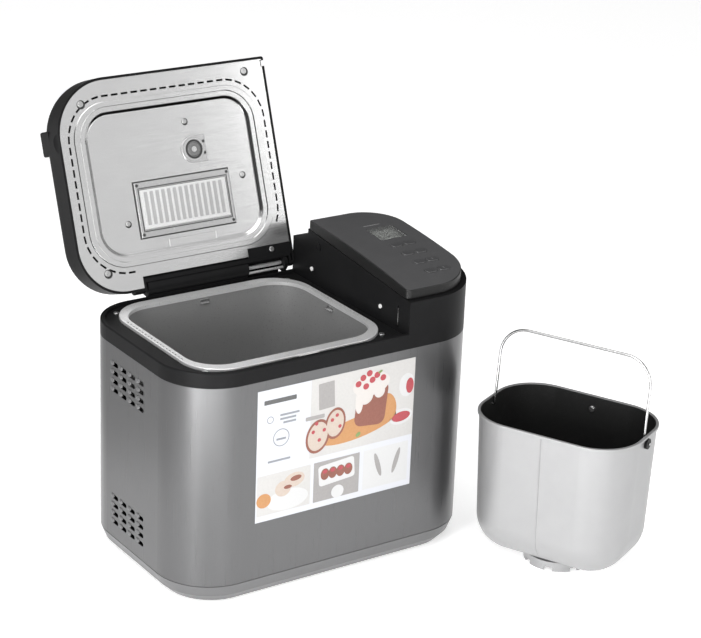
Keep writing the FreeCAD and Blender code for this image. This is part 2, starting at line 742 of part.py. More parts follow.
def heater_saddles():
    """Saddles that carry the heater off the chamber floor."""
    plan = heater_plan()
    z = CHAMBER_FLOOR + HEATER_HEIGHT
    saddles = []
    for x, y in ((plan.x0, 0.0), (RIM_CENTRE_X, plan.y0), (RIM_CENTRE_X, plan.y1)):
        along_y = y == 0.0
        half_x, half_y = (5.5, 4.0) if along_y else (4.0, 5.5)
        post = block(x - half_x, x + half_x, y - half_y, y + half_y, CHAMBER_FLOOR, z)
        axis = AXIS_Y if along_y else AXIS_X
        start = V(x - (0 if along_y else 10.0), y - (10.0 if along_y else 0), z)
        post = post.cut(Part.makeCylinder(HEATER_RADIUS, 20.0, start, axis))
        saddles.append(post.common(chamber_floor_zone()))
    return saddles


def chamber_clips():
    return group(wall_clips() + heater_saddles())


def chamber_floor_zone():
    """The free space inside the chamber, with its rounded floor edge."""
    inner = chamber_plan()
    zone = prism(inner, CHAMBER_FLOOR, RIM_TOP - PLATE_SHEET)
    return filleted(zone, CHAMBER_FILLET, at_height(CHAMBER_FLOOR))


def heat_shield():
    """A bent sheet between the hot chamber and the electronics."""
    x = chamber_plan().x1 + STEEL_WALL + HEATER_LEAD_LENGTH * 0.35
    wall = block(x, x + STEEL_WALL, -98.0, 98.0, PLATE_TOP, LEDGE - 30.0)
    foot = block(x, x + 9.0, -60.0, 60.0, PLATE_TOP, PLATE_TOP + STEEL_WALL)
    cuts = []
    for side in (-1, 1):
        start = V(x - 4.0, side * HEATER_LEAD_SPACING / 2, CHAMBER_FLOOR + HEATER_HEIGHT)
        cuts.append(Part.makeCylinder(HEATER_RADIUS + 2.0, 20.0, start, AXIS_X))
    cuts.append(Part.makeCylinder(8.0, 20.0, V(x - 4.0, 46.0, SENSOR_Z), AXIS_X))
    return wall.fuse(foot).removeSplitter().cut(cuts)


# ---- chassis and drive ----------------------------------------------------------------------------
def chassis():
    """The pressed plate that carries the drive, with its posts and the chamber's legs."""
    plan = box_plan(RIM_CENTRE_X - 112.0, MOTOR_X + 46.0, -84.0, 84.0, 12.0)
    plate = prism(plan, PLATE_HEIGHT, PLATE_TOP)
    cuts = [Part.makeCylinder(DRIVE_SHAFT_RADIUS + 1.5, 6.0, V(RIM_CENTRE_X, 0, PLATE_HEIGHT - 1.0))]
    cuts.append(Part.makeCylinder(MOTOR_SHAFT_RADIUS + 2.0, 6.0, V(MOTOR_X, 0, PLATE_HEIGHT - 1.0)))
    for x in (RIM_CENTRE_X - 60.0, RIM_CENTRE_X + 60.0):
        window = box_plan(x - 22.0, x + 22.0, -50.0, 50.0, 8.0)
        cuts.append(prism(window, PLATE_HEIGHT - 1.0, PLATE_TOP + 1.0))
    pieces = [plate.cut(cuts)]
    post_foot = FOOT_HEIGHT + PLASTIC_WALL
    for x, y in post_places():
        post = Part.makeCylinder(6.0, PLATE_HEIGHT - post_foot, V(x, y, post_foot))
        pieces.append(post.cut(screw_hole(x, y, post_foot, -1, 10.0)))
    leg_height = CHAMBER_FLOOR - STEEL_WALL - PLATE_TOP
    for x in (RIM_CENTRE_X - 94.0, RIM_CENTRE_X + 94.0):
        for y in (-64.0, 64.0):
            pieces.append(Part.makeCylinder(5.0, leg_height, V(x, y, PLATE_TOP)))
    return joined(pieces)


def shaft_bearing():
    low = PLATE_TOP
    high = CHAMBER_FLOOR - STEEL_WALL
    sleeve = Part.makeCylinder(10.0, high - low, V(RIM_CENTRE_X, 0, low))
    flange = Part.makeCylinder(20.0, 3.0, V(RIM_CENTRE_X, 0, high - 3.0))
    body = sleeve.fuse(flange).removeSplitter()
    bore = Part.makeCylinder(DRIVE_SHAFT_RADIUS + RUNNING_CLEARANCE, high - low, V(RIM_CENTRE_X, 0, low))
    return body.cut(bore)


def drive_shaft():
    low = PULLEY_BOTTOM - 4.0
    high = CHAMBER_FLOOR + 3.0 + COUPLING_HEIGHT * 0.6
    return Part.makeCylinder(DRIVE_SHAFT_RADIUS, high - low, V(RIM_CENTRE_X, 0, low))


def winged_coupling(x, y, low, height, bore_radius, bore_depth):
    """A hub with two drive wings, bored from below for its shaft."""
    hub = Part.makeCylinder(COUPLING_RADIUS, height, V(x, y, low))
    half = COUPLING_WING_THICKNESS / 2
    wings = block(x - COUPLING_WING, x + COUPLING_WING, y - half, y + half, low, low + height * 0.8)
    body = filleted(hub, 1.2, at_height(low + height)).fuse(wings).removeSplitter()
    return body.cut(Part.makeCylinder(bore_radius, bore_depth, V(x, y, low)))


def drive_coupling():
    low = CHAMBER_FLOOR + 3.0
    depth = COUPLING_HEIGHT * 0.6
    return winged_coupling(RIM_CENTRE_X, 0.0, low, COUPLING_HEIGHT, DRIVE_SHAFT_RADIUS, depth)


def pulley(x, radius, bore, holes):
    """A flat belt pulley with a flange at each face, and lightening holes in its web."""
    top = PULLEY_BOTTOM + PULLEY_HEIGHT
    body = Part.makeCylinder(radius, PULLEY_HEIGHT, V(x, 0, PULLEY_BOTTOM))
    for z in (PULLEY_BOTTOM, top - PULLEY_FLANGE_HEIGHT):
        body = body.fuse(Part.makeCylinder(radius + PULLEY_FLANGE, PULLEY_FLANGE_HEIGHT, V(x, 0, z)))
    body = body.removeSplitter()
    cuts = [Part.makeCylinder(bore, PULLEY_HEIGHT, V(x, 0, PULLEY_BOTTOM))]
    for index in range(holes):
        angle = 2 * math.pi * index / holes
        place = V(x + radius * 0.56 * math.cos(angle), radius * 0.56 * math.sin(angle), PULLEY_BOTTOM)
        cuts.append(Part.makeCylinder(radius * 0.17, PULLEY_HEIGHT, place))
    return body.cut(cuts)


def large_pulley():
    return pulley(RIM_CENTRE_X, PULLEY_RADIUS, DRIVE_SHAFT_RADIUS, 6)


def small_pulley():
    return pulley(MOTOR_X, PINION_RADIUS, MOTOR_SHAFT_RADIUS, 0)


def belt_loop(extra):
    """The face between two circles on the pulley axes, each larger than its pulley by extra."""
    large = PULLEY_RADIUS + extra
    small = PINION_RADIUS + extra
    angle = math.acos((large - small) / MOTOR_OFFSET)
    z = PULLEY_BOTTOM + (PULLEY_HEIGHT - BELT_HEIGHT) / 2
    ends = []
    for x, radius in ((RIM_CENTRE_X, large), (MOTOR_X, small)):
        reach_x = x + radius * math.cos(angle)
        reach_y = radius * math.sin(angle)
        ends.append([V(reach_x, -reach_y, z), V(reach_x, reach_y, z)])
    (left_low, left_high), (right_low, right_high) = ends
    edges = [
        Part.Arc(left_high, V(RIM_CENTRE_X - large, 0, z), left_low).toShape(),
        Part.LineSegment(left_low, right_low).toShape(),
        Part.Arc(right_low, V(MOTOR_X + small, 0, z), right_high).toShape(),
        Part.LineSegment(right_high, left_high).toShape(),
    ]
    return Part.Face(Part.Wire(edges)).extrude(V(0, 0, BELT_HEIGHT))


def drive_belt():
    return belt_loop(BELT_GAP + BELT_THICKNESS).cut(belt_loop(BELT_GAP))


def motor_body():
    low = PLATE_TOP
    can = Part.makeCylinder(MOTOR_RADIUS, MOTOR_HEIGHT, V(MOTOR_X, 0, low))
    can = filleted(can, 5.0, at_height(low + MOTOR_HEIGHT))
    room = Part.makeCylinder(ROTOR_RADIUS + 2.0, ROTOR_HEIGHT + 4.0, V(MOTOR_X, 0, low + 8.0))
    bore = Part.makeCylinder(MOTOR_SHAFT_RADIUS + RUNNING_CLEARANCE, MOTOR_HEIGHT, V(MOTOR_X, 0, low))
    return can.cut([room, bore])


def motor_rotor():
    """The motor's shaft with the wound core on it."""
    low = PULLEY_BOTTOM - 3.0
    high = PLATE_TOP + MOTOR_HEIGHT + 6.0
    shaft = Part.makeCylinder(MOTOR_SHAFT_RADIUS, high - low, V(MOTOR_X, 0, low))
    core = Part.makeCylinder(ROTOR_RADIUS, ROTOR_HEIGHT, V(MOTOR_X, 0, PLATE_TOP + 10.0))
    return joined([shaft, core])


def power_board():
    """The supply board behind the motor, its larger parts and the feet it stands on."""
    face = 80.0
    board = block(96.0, 170.0, face, face + BOARD_THICKNESS, 58.0, 150.0)
    transformer = block(104.0, 132.0, face - 20.0, face, 72.0, 100.0)
    relay = block(142.0, 160.0, face - 14.0, face, 74.0, 96.0)
    capacitor = Part.makeCylinder(8.0, 22.0, V(116.0, face - 22.0, 124.0), AXIS_Y)
    feet = [block(x - 4.0, x + 4.0, face - 4.0, face, PLATE_TOP, 70.0) for x in (104.0, 158.0)]
    return joined([board, transformer, relay, capacitor] + feet)


# ---- control panel ---------------------------------------------------------------------------------
def panel_plan(inset):
    plan = Plan(
        TOWER_LEFT,
        RIGHT - PANEL_INSET_RIGHT,
        PANEL_FRONT,
        PANEL_REAR,
        PANEL_FRONT_LEFT_RADIUS,
        PANEL_FRONT_RADIUS,
        PANEL_REAR_RADIUS,
        2.0,
    )
    return shrink(plan, inset)


def on_panel(shape):
    """Places a shape drawn on the panel's slope: Y runs up the slope, Z stands square to it."""
    rise = math.tan(math.radians(TOWER_SLOPE))
    seat = TOWER_TOP + rise * PANEL_INSET_FRONT
    lip = PANEL_LIP / math.cos(math.radians(TOWER_SLOPE))
    shape.rotate(V(0, 0, 0), AXIS_X, TOWER_SLOPE)
    shape.translate(V(0, PANEL_FRONT, seat + lip))
    return shape


def crown_height(v):
    """How far the crowned panel stands over its chord at a distance v up the slope."""
    radius = (PANEL_CHORD**2 / 4 + PANEL_CROWN**2) / (2 * PANEL_CROWN)
    return math.sqrt(radius**2 - (v - PANEL_CHORD / 2) ** 2) - (radius - PANEL_CROWN)


def crowned_slab(x0, x1, bottom, drop, overrun):
    """A slab along the slope: a flat underside and the crowned top, lowered by drop."""
    ends = (-overrun, PANEL_CHORD / 2, PANEL_CHORD + overrun)
    top = [V(x0, v, crown_height(v) - drop) for v in ends]
    low = [V(x0, ends[0], bottom), V(x0, ends[2], bottom)]
    edges = [
        Part.LineSegment(low[0], low[1]).toShape(),
        Part.LineSegment(low[1], top[2]).toShape(),
        Part.Arc(top[2], top[1], top[0]).toShape(),
        Part.LineSegment(top[0], low[0]).toShape(),
    ]
    return on_panel(Part.Face(Part.Wire(edges)).extrude(V(x1 - x0, 0, 0)))


def button_places():
    for row in range(BUTTON_ROWS):
        for column in range(BUTTON_COLUMNS):
            x = PANEL_FURNITURE_X + (column - (BUTTON_COLUMNS - 1) / 2) * BUTTON_PITCH_X
            yield x, BUTTON_FIRST_V + row * BUTTON_PITCH_V


def oblong(x, v, length, width, low, high):
    """A flat-sided oblong with round ends, square to the panel's slope."""
    half = width / 2
    plan = box_plan(x - length / 2, x + length / 2, v - half, v + half, half * 0.9)
    return prism(plan, low, high)


def display_plan(border, corner):
    half_x = DISPLAY_LENGTH / 2 + border
    half_v = DISPLAY_WIDTH / 2 + border
    return box_plan(
        PANEL_FURNITURE_X - half_x,
        PANEL_FURNITURE_X + half_x,
        DISPLAY_CENTRE_V - half_v,
        DISPLAY_CENTRE_V + half_v,
        corner,
    )


def display_seat():
    """The height of the display lens's underside over the panel's chord."""
    edge = DISPLAY_CENTRE_V + DISPLAY_WIDTH / 2 + DISPLAY_BORDER
    return crown_height(edge) - DISPLAY_LENS - 0.15


def status_plan(inset):
    half = STATUS_LENGTH / 2 - inset
    width = STATUS_WIDTH / 2 - inset
    x = PANEL_FURNITURE_X - 4.0
    return box_plan(x - half, x + half, STATUS_CENTRE_V - width, STATUS_CENTRE_V + width, 0)


def control_panel():
    outer = crowned_slab(TOWER_LEFT - 5.0, RIGHT + 5.0, -PANEL_LIP, 0.0, 12.0)
    outer = outer.common(prism(panel_plan(0.0), DECK, TOWER_TOP + BODY_DEPTH))
    outer = rounded_panel_edge(outer)
    inner = crowned_slab(TOWER_LEFT - 5.0, RIGHT + 5.0, -PANEL_LIP - 1.0, PANEL_WALL, 12.0)
    inner = inner.common(prism(panel_plan(PANEL_WALL), DECK, TOWER_TOP + BODY_DEPTH))
    cuts = [inner]
    for x, v in button_places():
        gap = 2 * BUTTON_GAP
        hole = oblong(x, v, BUTTON_LENGTH + gap, BUTTON_WIDTH + gap, -PANEL_LIP, PANEL_CROWN + 5.0)
        cuts.append(on_panel(hole))
    seat = display_seat()
    cuts.append(on_panel(prism(display_plan(DISPLAY_BORDER, 3.0), seat, seat + 10.0)))
    cuts.append(on_panel(prism(display_plan(0.0, 1.5), seat - 10.0, seat + 1.0)))
    cuts.append(on_panel(prism(status_plan(0.0), -1.0, PANEL_CROWN + 2.0)))
    return outer.cut(cuts).fuse(board_bosses())


def board_bosses():
    """Bosses under the panel's top wall that the control board hangs from."""
    solids = []
    for x, v in ((124.0, 28.0), (124.0, 184.0), (171.0, 184.0)):
        high = crown_height(v) - PANEL_WALL + 0.8
        solids.append(on_panel(Part.makeCylinder(3.0, high - board_top(), V(x, v, board_top()))))
    return solids


def rounded_panel_edge(slab):
    """Rounds the edge all round the crowned top face."""
    top = max(slab.Faces, key=lambda face: face.CenterOfMass.z)
    return slab.makeFillet(PANEL_EDGE_RADIUS, top.OuterWire.Edges)


def display_lens():
    seat = display_seat()
    plan = display_plan(DISPLAY_BORDER - RUNNING_CLEARANCE, 2.9)
    return on_panel(prism(plan, seat, seat + DISPLAY_LENS))


def board_top():
    """The height of the control board's upper face over the panel's chord."""
    return -PANEL_LIP + BOARD_THICKNESS + 0.4


def lcd_module():
    top = display_seat() - PANEL_WALL - 0.2
    plan = display_plan(1.0, 1.0)
    return on_panel(prism(plan, board_top(), top))


def status_light():
    top = crown_height(STATUS_CENTRE_V) - 0.1
    return on_panel(prism(status_plan(RUNNING_CLEARANCE), top - PANEL_WALL, top))


def control_board():
    """The board under the panel, with a tact switch below each button."""
    plan = box_plan(PANEL_FURNITURE_X - 36.0, PANEL_FURNITURE_X + 22.0, 22.0, 190.0, 3.0)
    pieces = [prism(plan, board_top() - BOARD_THICKNESS, board_top())]
    for x, v in button_places():
        top = button_bottom(v) - BUTTON_TRAVEL - 0.2
        pieces.append(block(x - 3.0, x + 3.0, v - 3.0, v + 3.0, board_top(), top - 0.8))
        pieces.append(Part.makeCylinder(1.6, 0.8, V(x, v, top - 0.8)))
    return on_panel(joined(pieces))


def button_bottom(v):
    """The height of a button stem's lower end over the panel's chord."""
    return crown_height(v) - PANEL_WALL - BUTTON_PLAY - BUTTON_FLANGE - BUTTON_STEM


def buttons():
    solids = []
    for x, v in button_places():
        surface = crown_height(v)
        under = surface - PANEL_WALL - BUTTON_PLAY
        cap = oblong(x, v, BUTTON_LENGTH, BUTTON_WIDTH, under - BUTTON_FLANGE, surface + BUTTON_PROUD)
        cap = filleted(cap, 0.7, at_height(surface + BUTTON_PROUD))
        flange = oblong(x, v, BUTTON_LENGTH + 2.4, BUTTON_WIDTH + 2.4, under - BUTTON_FLANGE, under)
        stem = Part.makeCylinder(2.2, under - button_bottom(v), V(x, v, button_bottom(v)))
        solids.append(on_panel(joined([cap, flange, stem])))
    return solids


# ---- lid, drawn closed and then swung open ----------------------------------------------------------
def lid_plan():
    return Plan(LEFT, LID_RIGHT, FRONT, REAR + LID_OVERHANG, FRONT_CORNER, 3.0, 3.0, REAR_CORNER)


def lid_y(v):
    """The Y of a point of the closed lid at a distance v in front of the hinge axis."""
    return HINGE_Y - v


def lid_box(x0, x1, v0, v1, corner):
    """A rounded plan on the lid between two distances from the hinge axis."""
    return box_plan(x0, x1, lid_y(v1), lid_y(v0), corner)


def notch_span():
    return HINGE_LEFT - HINGE_END_GAP, HINGE_STAND_LEFT + HINGE_STAND_WIDTH + HINGE_END_GAP


def hinge_roll(radius, extra):
    """A cylinder on the hinge axis across the lid's notch, longer by extra at each end."""
    low, high = notch_span()
    length = high - low + 2 * extra
    return Part.makeCylinder(radius, length, V(low - extra, HINGE_Y, HINGE_Z), AXIS_X)


def lid_screw_places():
    return ((-168.5, 226.5), (57.6, 239.5), (-168.5, 25.0))


def dispenser_screw_places():
    return ((-33.5, 189.3), (34.7, 115.1), (-130.2, 78.5))


def hinge_lugs():
    """The lid's two bosses on the hinge pins, at each end of the notch."""
    low, high = notch_span()
    left_end = PIN_LEFT_SPAN[0] - 2.0
    left = Part.makeCylinder(HINGE_LUG_RADIUS, low - left_end, V(left_end, HINGE_Y, HINGE_Z), AXIS_X)
    right = Part.makeCylinder(HINGE_LUG_RADIUS, LID_RIGHT - high, V(high, HINGE_Y, HINGE_Z), AXIS_X)
    return [left, right]


def lid_shell():
    notch_radius = HINGE_BARREL_RADIUS + HINGE_BARREL_CLEARANCE
    outer = prism(lid_plan(), LID_BOTTOM, LID_TOP)
    outer = filleted(outer, LID_EDGE_RADIUS, at_height(LID_TOP))
    wall = PLASTIC_WALL
    cavity = prism(shrink(lid_plan(), wall), LID_BOTTOM, LID_TOP - wall)
    cavity = filleted(cavity, LID_EDGE_RADIUS - wall, at_height(LID_TOP - wall))
    cavity = cavity.cut(hinge_roll(notch_radius + wall, wall))
    shell = outer.cut(cavity)
    bosses = []
    boss_foot = PLATE_BOTTOM + PLATE_SHEET
    for x, v in lid_screw_places():
        bosses.append(Part.makeCylinder(5.0, LID_TOP - wall - boss_foot, V(x, lid_y(v), boss_foot)))
    shell = shell.fuse(bosses + hinge_lugs()).removeSplitter()
    opening = prism(hatch_plan(), LID_TOP - LID_EDGE_RADIUS, LID_TOP + 1.0)
    cuts = [hinge_roll(notch_radius, 0.0), opening, finger_recess()]
    cuts.append(hinge_pin_bore(HINGE_PIN_RADIUS + RUNNING_CLEARANCE))
    latch_top = LID_BOTTOM + 7.0
    latch = block(LID_RIGHT - 4.5, LID_RIGHT + 1.0, lid_y(249.5), lid_y(242.5), LID_BOTTOM - 1.0, latch_top)
    cuts.append(latch)
    for x, v in lid_screw_places():
        cuts.append(screw_hole(x, lid_y(v), PLATE_BOTTOM, -1, 9.0))
    cuts.append(hatch_pin(HATCH_PIN_RADIUS))
    return shell.cut(cuts)


def finger_recess():
    """The crescent finger grip in the lid's left side, below the grip."""
    y = lid_y((GRIP_BOX[0] + GRIP_BOX[1]) / 2)
    half = (GRIP_BOX[1] - GRIP_BOX[0]) / 2
    ball = Part.makeSphere(GRIP_BALL, V(LEFT - GRIP_BALL + GRIP_DEPTH, y, LID_BOTTOM))
    room = block(LEFT - 1.0, LEFT + GRIP_DEPTH, y - half, y + half, LID_BOTTOM - 1.0, LID_BOTTOM + half)
    return ball.common(room)


def lid_grip():
    """The raised grip on the lid's left edge."""
    low, high = GRIP_BOX
    plan = lid_box(LEFT, LEFT + GRIP_REACH, low, high, 2.5)
    body = prism(plan, LID_TOP - LID_EDGE_RADIUS - 4.0, LID_TOP + GRIP_PROUD)
    body = filleted(body, 2.0, at_height(LID_TOP + GRIP_PROUD))
    outer = prism(lid_plan(), LID_BOTTOM, LID_TOP)
    return body.cut(filleted(outer, LID_EDGE_RADIUS, at_height(LID_TOP)))


def bead_plan():
    x0, x1, v0, v1 = BEAD_OUTER
    return lid_box(x0, x1, v0, v1, BEAD_CORNER)


def recess_plan():
    return shrink(shrink(bead_plan(), BEAD_WIDTH_X, BEAD_WIDTH_V), RECESS_BORDER)


def slot_ring():
    """Short slots at an even pitch along a rounded path outside the bead."""
    path = outline(shrink(bead_plan(), -SLOT_OFFSET), 0.0)
    cuts = []
    total = path.Length
    for index in range(SLOT_COUNT):
        place, tangent = point_along(path, total * (index + 0.5) / SLOT_COUNT)
        if inside_plate_cutouts(place):
            continue
        slot = block(-SLOT_LENGTH / 2, SLOT_LENGTH / 2, -SLOT_WIDTH / 2, SLOT_WIDTH / 2, 0, 3.0)
        slot.rotate(V(0, 0, 0), AXIS_Z, math.degrees(math.atan2(tangent.y, tangent.x)))
        slot.translate(V(place.x, place.y, PLATE_BOTTOM - 1.0))
        cuts.append(slot)
    return cuts


def point_along(path, distance):
    """The point and direction at a distance along a wire."""
    for edge in path.OrderedEdges:
        if distance <= edge.Length:
            parameter = edge.getParameterByLength(distance)
            return edge.valueAt(parameter), edge.tangentAt(parameter)
        distance -= edge.Length
    last = path.OrderedEdges[-1]
    return last.valueAt(last.LastParameter), last.tangentAt(last.LastParameter)


def inside_plate_cutouts(place):
    """True where a slot would run into the cut-outs at the plate's hinge edge."""
    v = HINGE_Y - place.y
    hidden_by_cover = place.x > COVER_LEFT - 8.0 and v < PLATE_BRACKET_V + 20.0
    return hidden_by_cover or (v < BEAD_OUTER[2] and place.x > HINGE_LEFT - 8.0)


COVER_LEFT = 24.0
COVER_SCREW = (57.7, HINGE_Y - 18.4, PLATE_BOTTOM - 0.4)


def lid_inner_plate():
    low = PLATE_BOTTOM
    sheet = PLATE_SHEET
    flat = prism(shrink(lid_plan(), PLATE_INSET), low, low + sheet)
    bead = prism(bead_plan(), low - BEAD_HEIGHT, low).cut(
        prism(shrink(bead_plan(), BEAD_WIDTH_X, BEAD_WIDTH_V), low - BEAD_HEIGHT, low)
    )
    bead = filleted(bead, 0.9, at_height(low - BEAD_HEIGHT))
    well = prism(recess_plan(), low, RECESS_FACE + sheet).cut(
        prism(shrink(recess_plan(), sheet), low, RECESS_FACE)
    )
    stamp = prism(lid_box(-79.0, -14.0, 37.0, 53.0, 1.0), RECESS_FACE - 0.4, RECESS_FACE)
    plate = flat.cut(prism(shrink(recess_plan(), sheet), low - 1.0, low + sheet + 1.0))
    plate = joined([plate, bead, well, stamp])
    low_x, _ = notch_span()
    left_x = low_x - PLASTIC_WALL - 0.4
    cuts = [block(left_x, LID_RIGHT, lid_y(PLATE_NOTCH_V), REAR + 20.0, low - 5.0, low + 10.0)]
    cuts.append(block(COVER_LEFT, LID_RIGHT, lid_y(PLATE_BRACKET_V), REAR + 20.0, low - 5.0, low + 10.0))
    cuts.append(block(LID_RIGHT - 5.0, LID_RIGHT, lid_y(250.0), lid_y(242.0), low - 5.0, low + 5.0))
    cuts.append(prism(lid_box(*frame_hole(), 1.0), low, RECESS_FACE + sheet + 1.0))
    cuts.append(valve_hole())
    for x, v in lid_screw_places():
        cuts.append(screw_hole(x, lid_y(v), low - 1.0, -1, 4.0))
    for x, v in dispenser_screw_places():
        cuts.append(screw_hole(x, lid_y(v), RECESS_FACE - 1.0, -1, 4.0))
    return plate.cut(cuts + slot_ring())


def lid_screws():
    """The screws of the inner plate, the dispenser and the hinge cover."""
    heads = [screw(x, lid_y(v), PLATE_BOTTOM, -1, 8.0) for x, v in lid_screw_places()]
    heads += [screw(x, lid_y(v), RECESS_FACE, -1, 5.0, 3.0) for x, v in dispenser_screw_places()]
    return group(heads + [screw(*COVER_SCREW, -1, 3.0, 3.4)])


def lid_hinge_cover():
    """The black plate over the hinge corner, flush with the inner plate."""
    margin = 0.5
    low = PLATE_BOTTOM - 0.4
    y0 = lid_y(PLATE_BRACKET_V - margin)
    plate = block(COVER_LEFT + margin, LID_RIGHT - PLATE_INSET, y0, lid_y(9.0), low, low + 2.4)
    roll = hinge_roll(HINGE_BARREL_RADIUS + HINGE_BARREL_CLEARANCE + PLASTIC_WALL, PLASTIC_WALL)
    x, y, z = COVER_SCREW
    return plate.cut([roll, screw_hole(x, y, z, -1, 4.0)])


# ---- dispenser -----------------------------------------------------------------------------------
def frame_hole():
    """The opening in the recessed plate that the dispenser frame sits over."""
    x0, x1, v0, v1 = FRAME_BOX
    return x0 + 2.0, x1 - 2.0, v0 + 2.0, v1 - 2.0


def flap_window():
    x0, x1, v0, v1 = FRAME_BOX
    return x0 + FRAME_BORDER_X, x1 - FRAME_BORDER_X, v0 + FRAME_BORDER_V, v1 - FRAME_BORDER_V


def flap_frame():
    x0, x1, v0, v1 = FRAME_BOX
    rim = prism(lid_box(x0, x1, v0, v1, 2.0), RECESS_FACE - FRAME_THICKNESS, RECESS_FACE)
    rim = filleted(rim, 0.6, at_height(RECESS_FACE - FRAME_THICKNESS))
    a0, a1, b0, b1 = frame_hole()
    spigot_plan = shrink(lid_box(a0, a1, b0, b1, 1.0), 0.3)
    spigot = prism(spigot_plan, RECESS_FACE, RECESS_FACE + PLATE_SHEET)
    w0, w1, u0, u1 = flap_window()
    window = prism(lid_box(w0, w1, u0, u1, 0), RECESS_FACE - 5.0, RECESS_FACE + 5.0)
    return joined([rim, spigot]).cut([window, flap_pin_bore(FLAP_PIN_RADIUS)])


def flap_pin_place():
    _, _, v0, _ = flap_window()
    return lid_y(v0 + FLAP_GAP + 1.6), RECESS_FACE - 0.4


def flap_pin_bore(radius):
    w0, w1, _, _ = flap_window()
    y, z = flap_pin_place()
    return Part.makeCylinder(radius, w1 - w0 + 6.0, V(w0 - 3.0, y, z), AXIS_X)


def nut_flap():
    """The ribbed flap that drops the nuts into the pan."""
    w0, w1, v0, v1 = flap_window()
    low = RECESS_FACE - FLAP_THICKNESS
    gap = FLAP_GAP
    y, z = flap_pin_place()
    leaf = prism(lid_box(w0 + gap, w1 - gap, v0 + gap + 1.6, v1 - gap, 0.4), low, low + FLAP_THICKNESS)
    knuckle = Part.makeCylinder(1.9, w1 - w0 - 2 * gap, V(w0 + gap, y, z), AXIS_X)
    pieces = [leaf, knuckle]
    pitch = (w1 - w0 - 2 * gap) / FLAP_RIBS
    for index in range(FLAP_RIBS):
        x = w0 + gap + pitch * (index + 0.5)
        half = FLAP_RIB_WIDTH / 2
        pieces.append(
            block(x - half, x + half, lid_y(v1 - 3.0), lid_y(v0 + 5.0), low - FLAP_RIB_HEIGHT, low)
        )
    bore = Part.makeCylinder(FLAP_PIN_RADIUS + RUNNING_CLEARANCE, w1 - w0, V(w0, y, z), AXIS_X)
    return joined(pieces).cut(bore)


def dispenser_hopper():
    """The open box between the hatch and the flap that holds nuts or raisins."""
    a0, a1, b0, b1 = frame_hole()
    low = RECESS_FACE + PLATE_SHEET
    high = LID_TOP - PLASTIC_WALL - 1.0
    outer = prism(lid_box(a0 - 1.0, a1 + 1.0, b0 - 1.0, b1 + 1.0, 4.0), low, high)
    wall = HOPPER_WALL
    inner = prism(lid_box(a0 + 1.0, a1 - 1.0, b0 + 1.0, b1 - 1.0, 3.0), low - 1.0, high + 1.0)
    body = outer.cut(inner)
    for x, v in dispenser_screw_places():
        lug = Part.makeCylinder(4.5, 6.0, V(x, lid_y(v), low))
        body = body.fuse(lug)
    ears = []
    for x, v in dispenser_screw_places():
        nearest_x = min(max(x, a0), a1)
        nearest_v = min(max(v, b0), b1)
        if abs(x - nearest_x) + abs(v - nearest_v) > 0:
            ears.append(
                block(
                    min(x, nearest_x) - wall,
                    max(x, nearest_x) + wall,
                    min(lid_y(v), lid_y(nearest_v)) - wall,
                    max(lid_y(v), lid_y(nearest_v)) + wall,
                    low,
                    low + 2.0,
                )
            )
    body = body.fuse(ears).cut(inner).removeSplitter()
    cuts = [screw_hole(x, lid_y(v), low, -1, 5.0) for x, v in dispenser_screw_places()]
    cuts.append(valve_clearance())
    return body.cut(cuts)


def valve_clearance():
    x, v = VALVE_CENTRE
    return Part.makeCylinder(VALVE_HOUSING_RADIUS + 0.6, 40.0, V(x, lid_y(v), RECESS_FACE))


def valve_hole():
    x, v = VALVE_CENTRE
    return Part.makeCylinder(VALVE_HOUSING_RADIUS - 2.0, 8.0, V(x, lid_y(v), RECESS_FACE - 2.0))


def yeast_housing():
    """The cup round the yeast valve: round at its left, square at its right."""
    x, v = VALVE_CENTRE
    y = lid_y(v)
    radius = VALVE_HOUSING_RADIUS
    thickness = 2.0
    low = RECESS_FACE - thickness
    flange = Part.makeCylinder(radius, thickness, V(x, y, low))
    square = block(x, x + radius + 0.7, y - radius, y + radius, low, RECESS_FACE)
    flange = filleted(joined([flange, square]), 0.6, at_height(low))
    cup = Part.makeCylinder(radius - 2.3, LID_TOP - PLASTIC_WALL - 6.0 - RECESS_FACE, V(x, y, RECESS_FACE))
    body = joined([flange, cup])
    bore = Part.makeCylinder(radius - 4.3, 60.0, V(x, y, RECESS_FACE + 4.0))
    mouth = Part.makeCylinder(VALVE_RADIUS + 0.3, 20.0, V(x, y, low - 1.0))
    return body.cut([bore, mouth])


def yeast_valve():
    """The round stopper that drops to let the yeast fall."""
    x, v = VALVE_CENTRE
    y = lid_y(v)
    low = RECESS_FACE - 2.6
    disc = Part.makeCylinder(VALVE_RADIUS, 6.0, V(x, y, low))
    disc = filleted(disc, 1.2, at_height(low))
    stem = Part.makeCylinder(2.0, 22.0, V(x, y, low))
    return disc.fuse(stem).removeSplitter()


def valve_solenoid():
    """The coil beside the yeast cup that works the valve and the flap catch."""
    x, v = VALVE_CENTRE
    y = lid_y(v)
    left = x + VALVE_HOUSING_RADIUS + 6.0
    low = RECESS_FACE + PLATE_SHEET
    coil = block(left, left + 30.0, y - 11.0, y + 11.0, low + 3.0, low + 23.0)
    strap = block(left + 4.0, left + 26.0, y - 15.0, y + 15.0, low, low + 3.0)
    return joined([coil, strap])


def hatch_plan():
    x0, x1, v0, v1 = HATCH_BOX
    corners = (HATCH_CORNER, HATCH_CORNER, HATCH_REAR_CORNER, HATCH_REAR_CORNER)
    return Plan(x0, x1, lid_y(v1), lid_y(v0), *corners)


def hatch_pin(radius):
    """The hatch's hinge pin, let into the lid's top wall at both ends."""
    x0, x1, v0, _ = HATCH_BOX
    start = V(x0 - 4.0, lid_y(v0 + HATCH_PIN_INSET), LID_TOP - PLASTIC_WALL / 2)
    return Part.makeCylinder(radius, x1 - x0 + 8.0, start, AXIS_X)


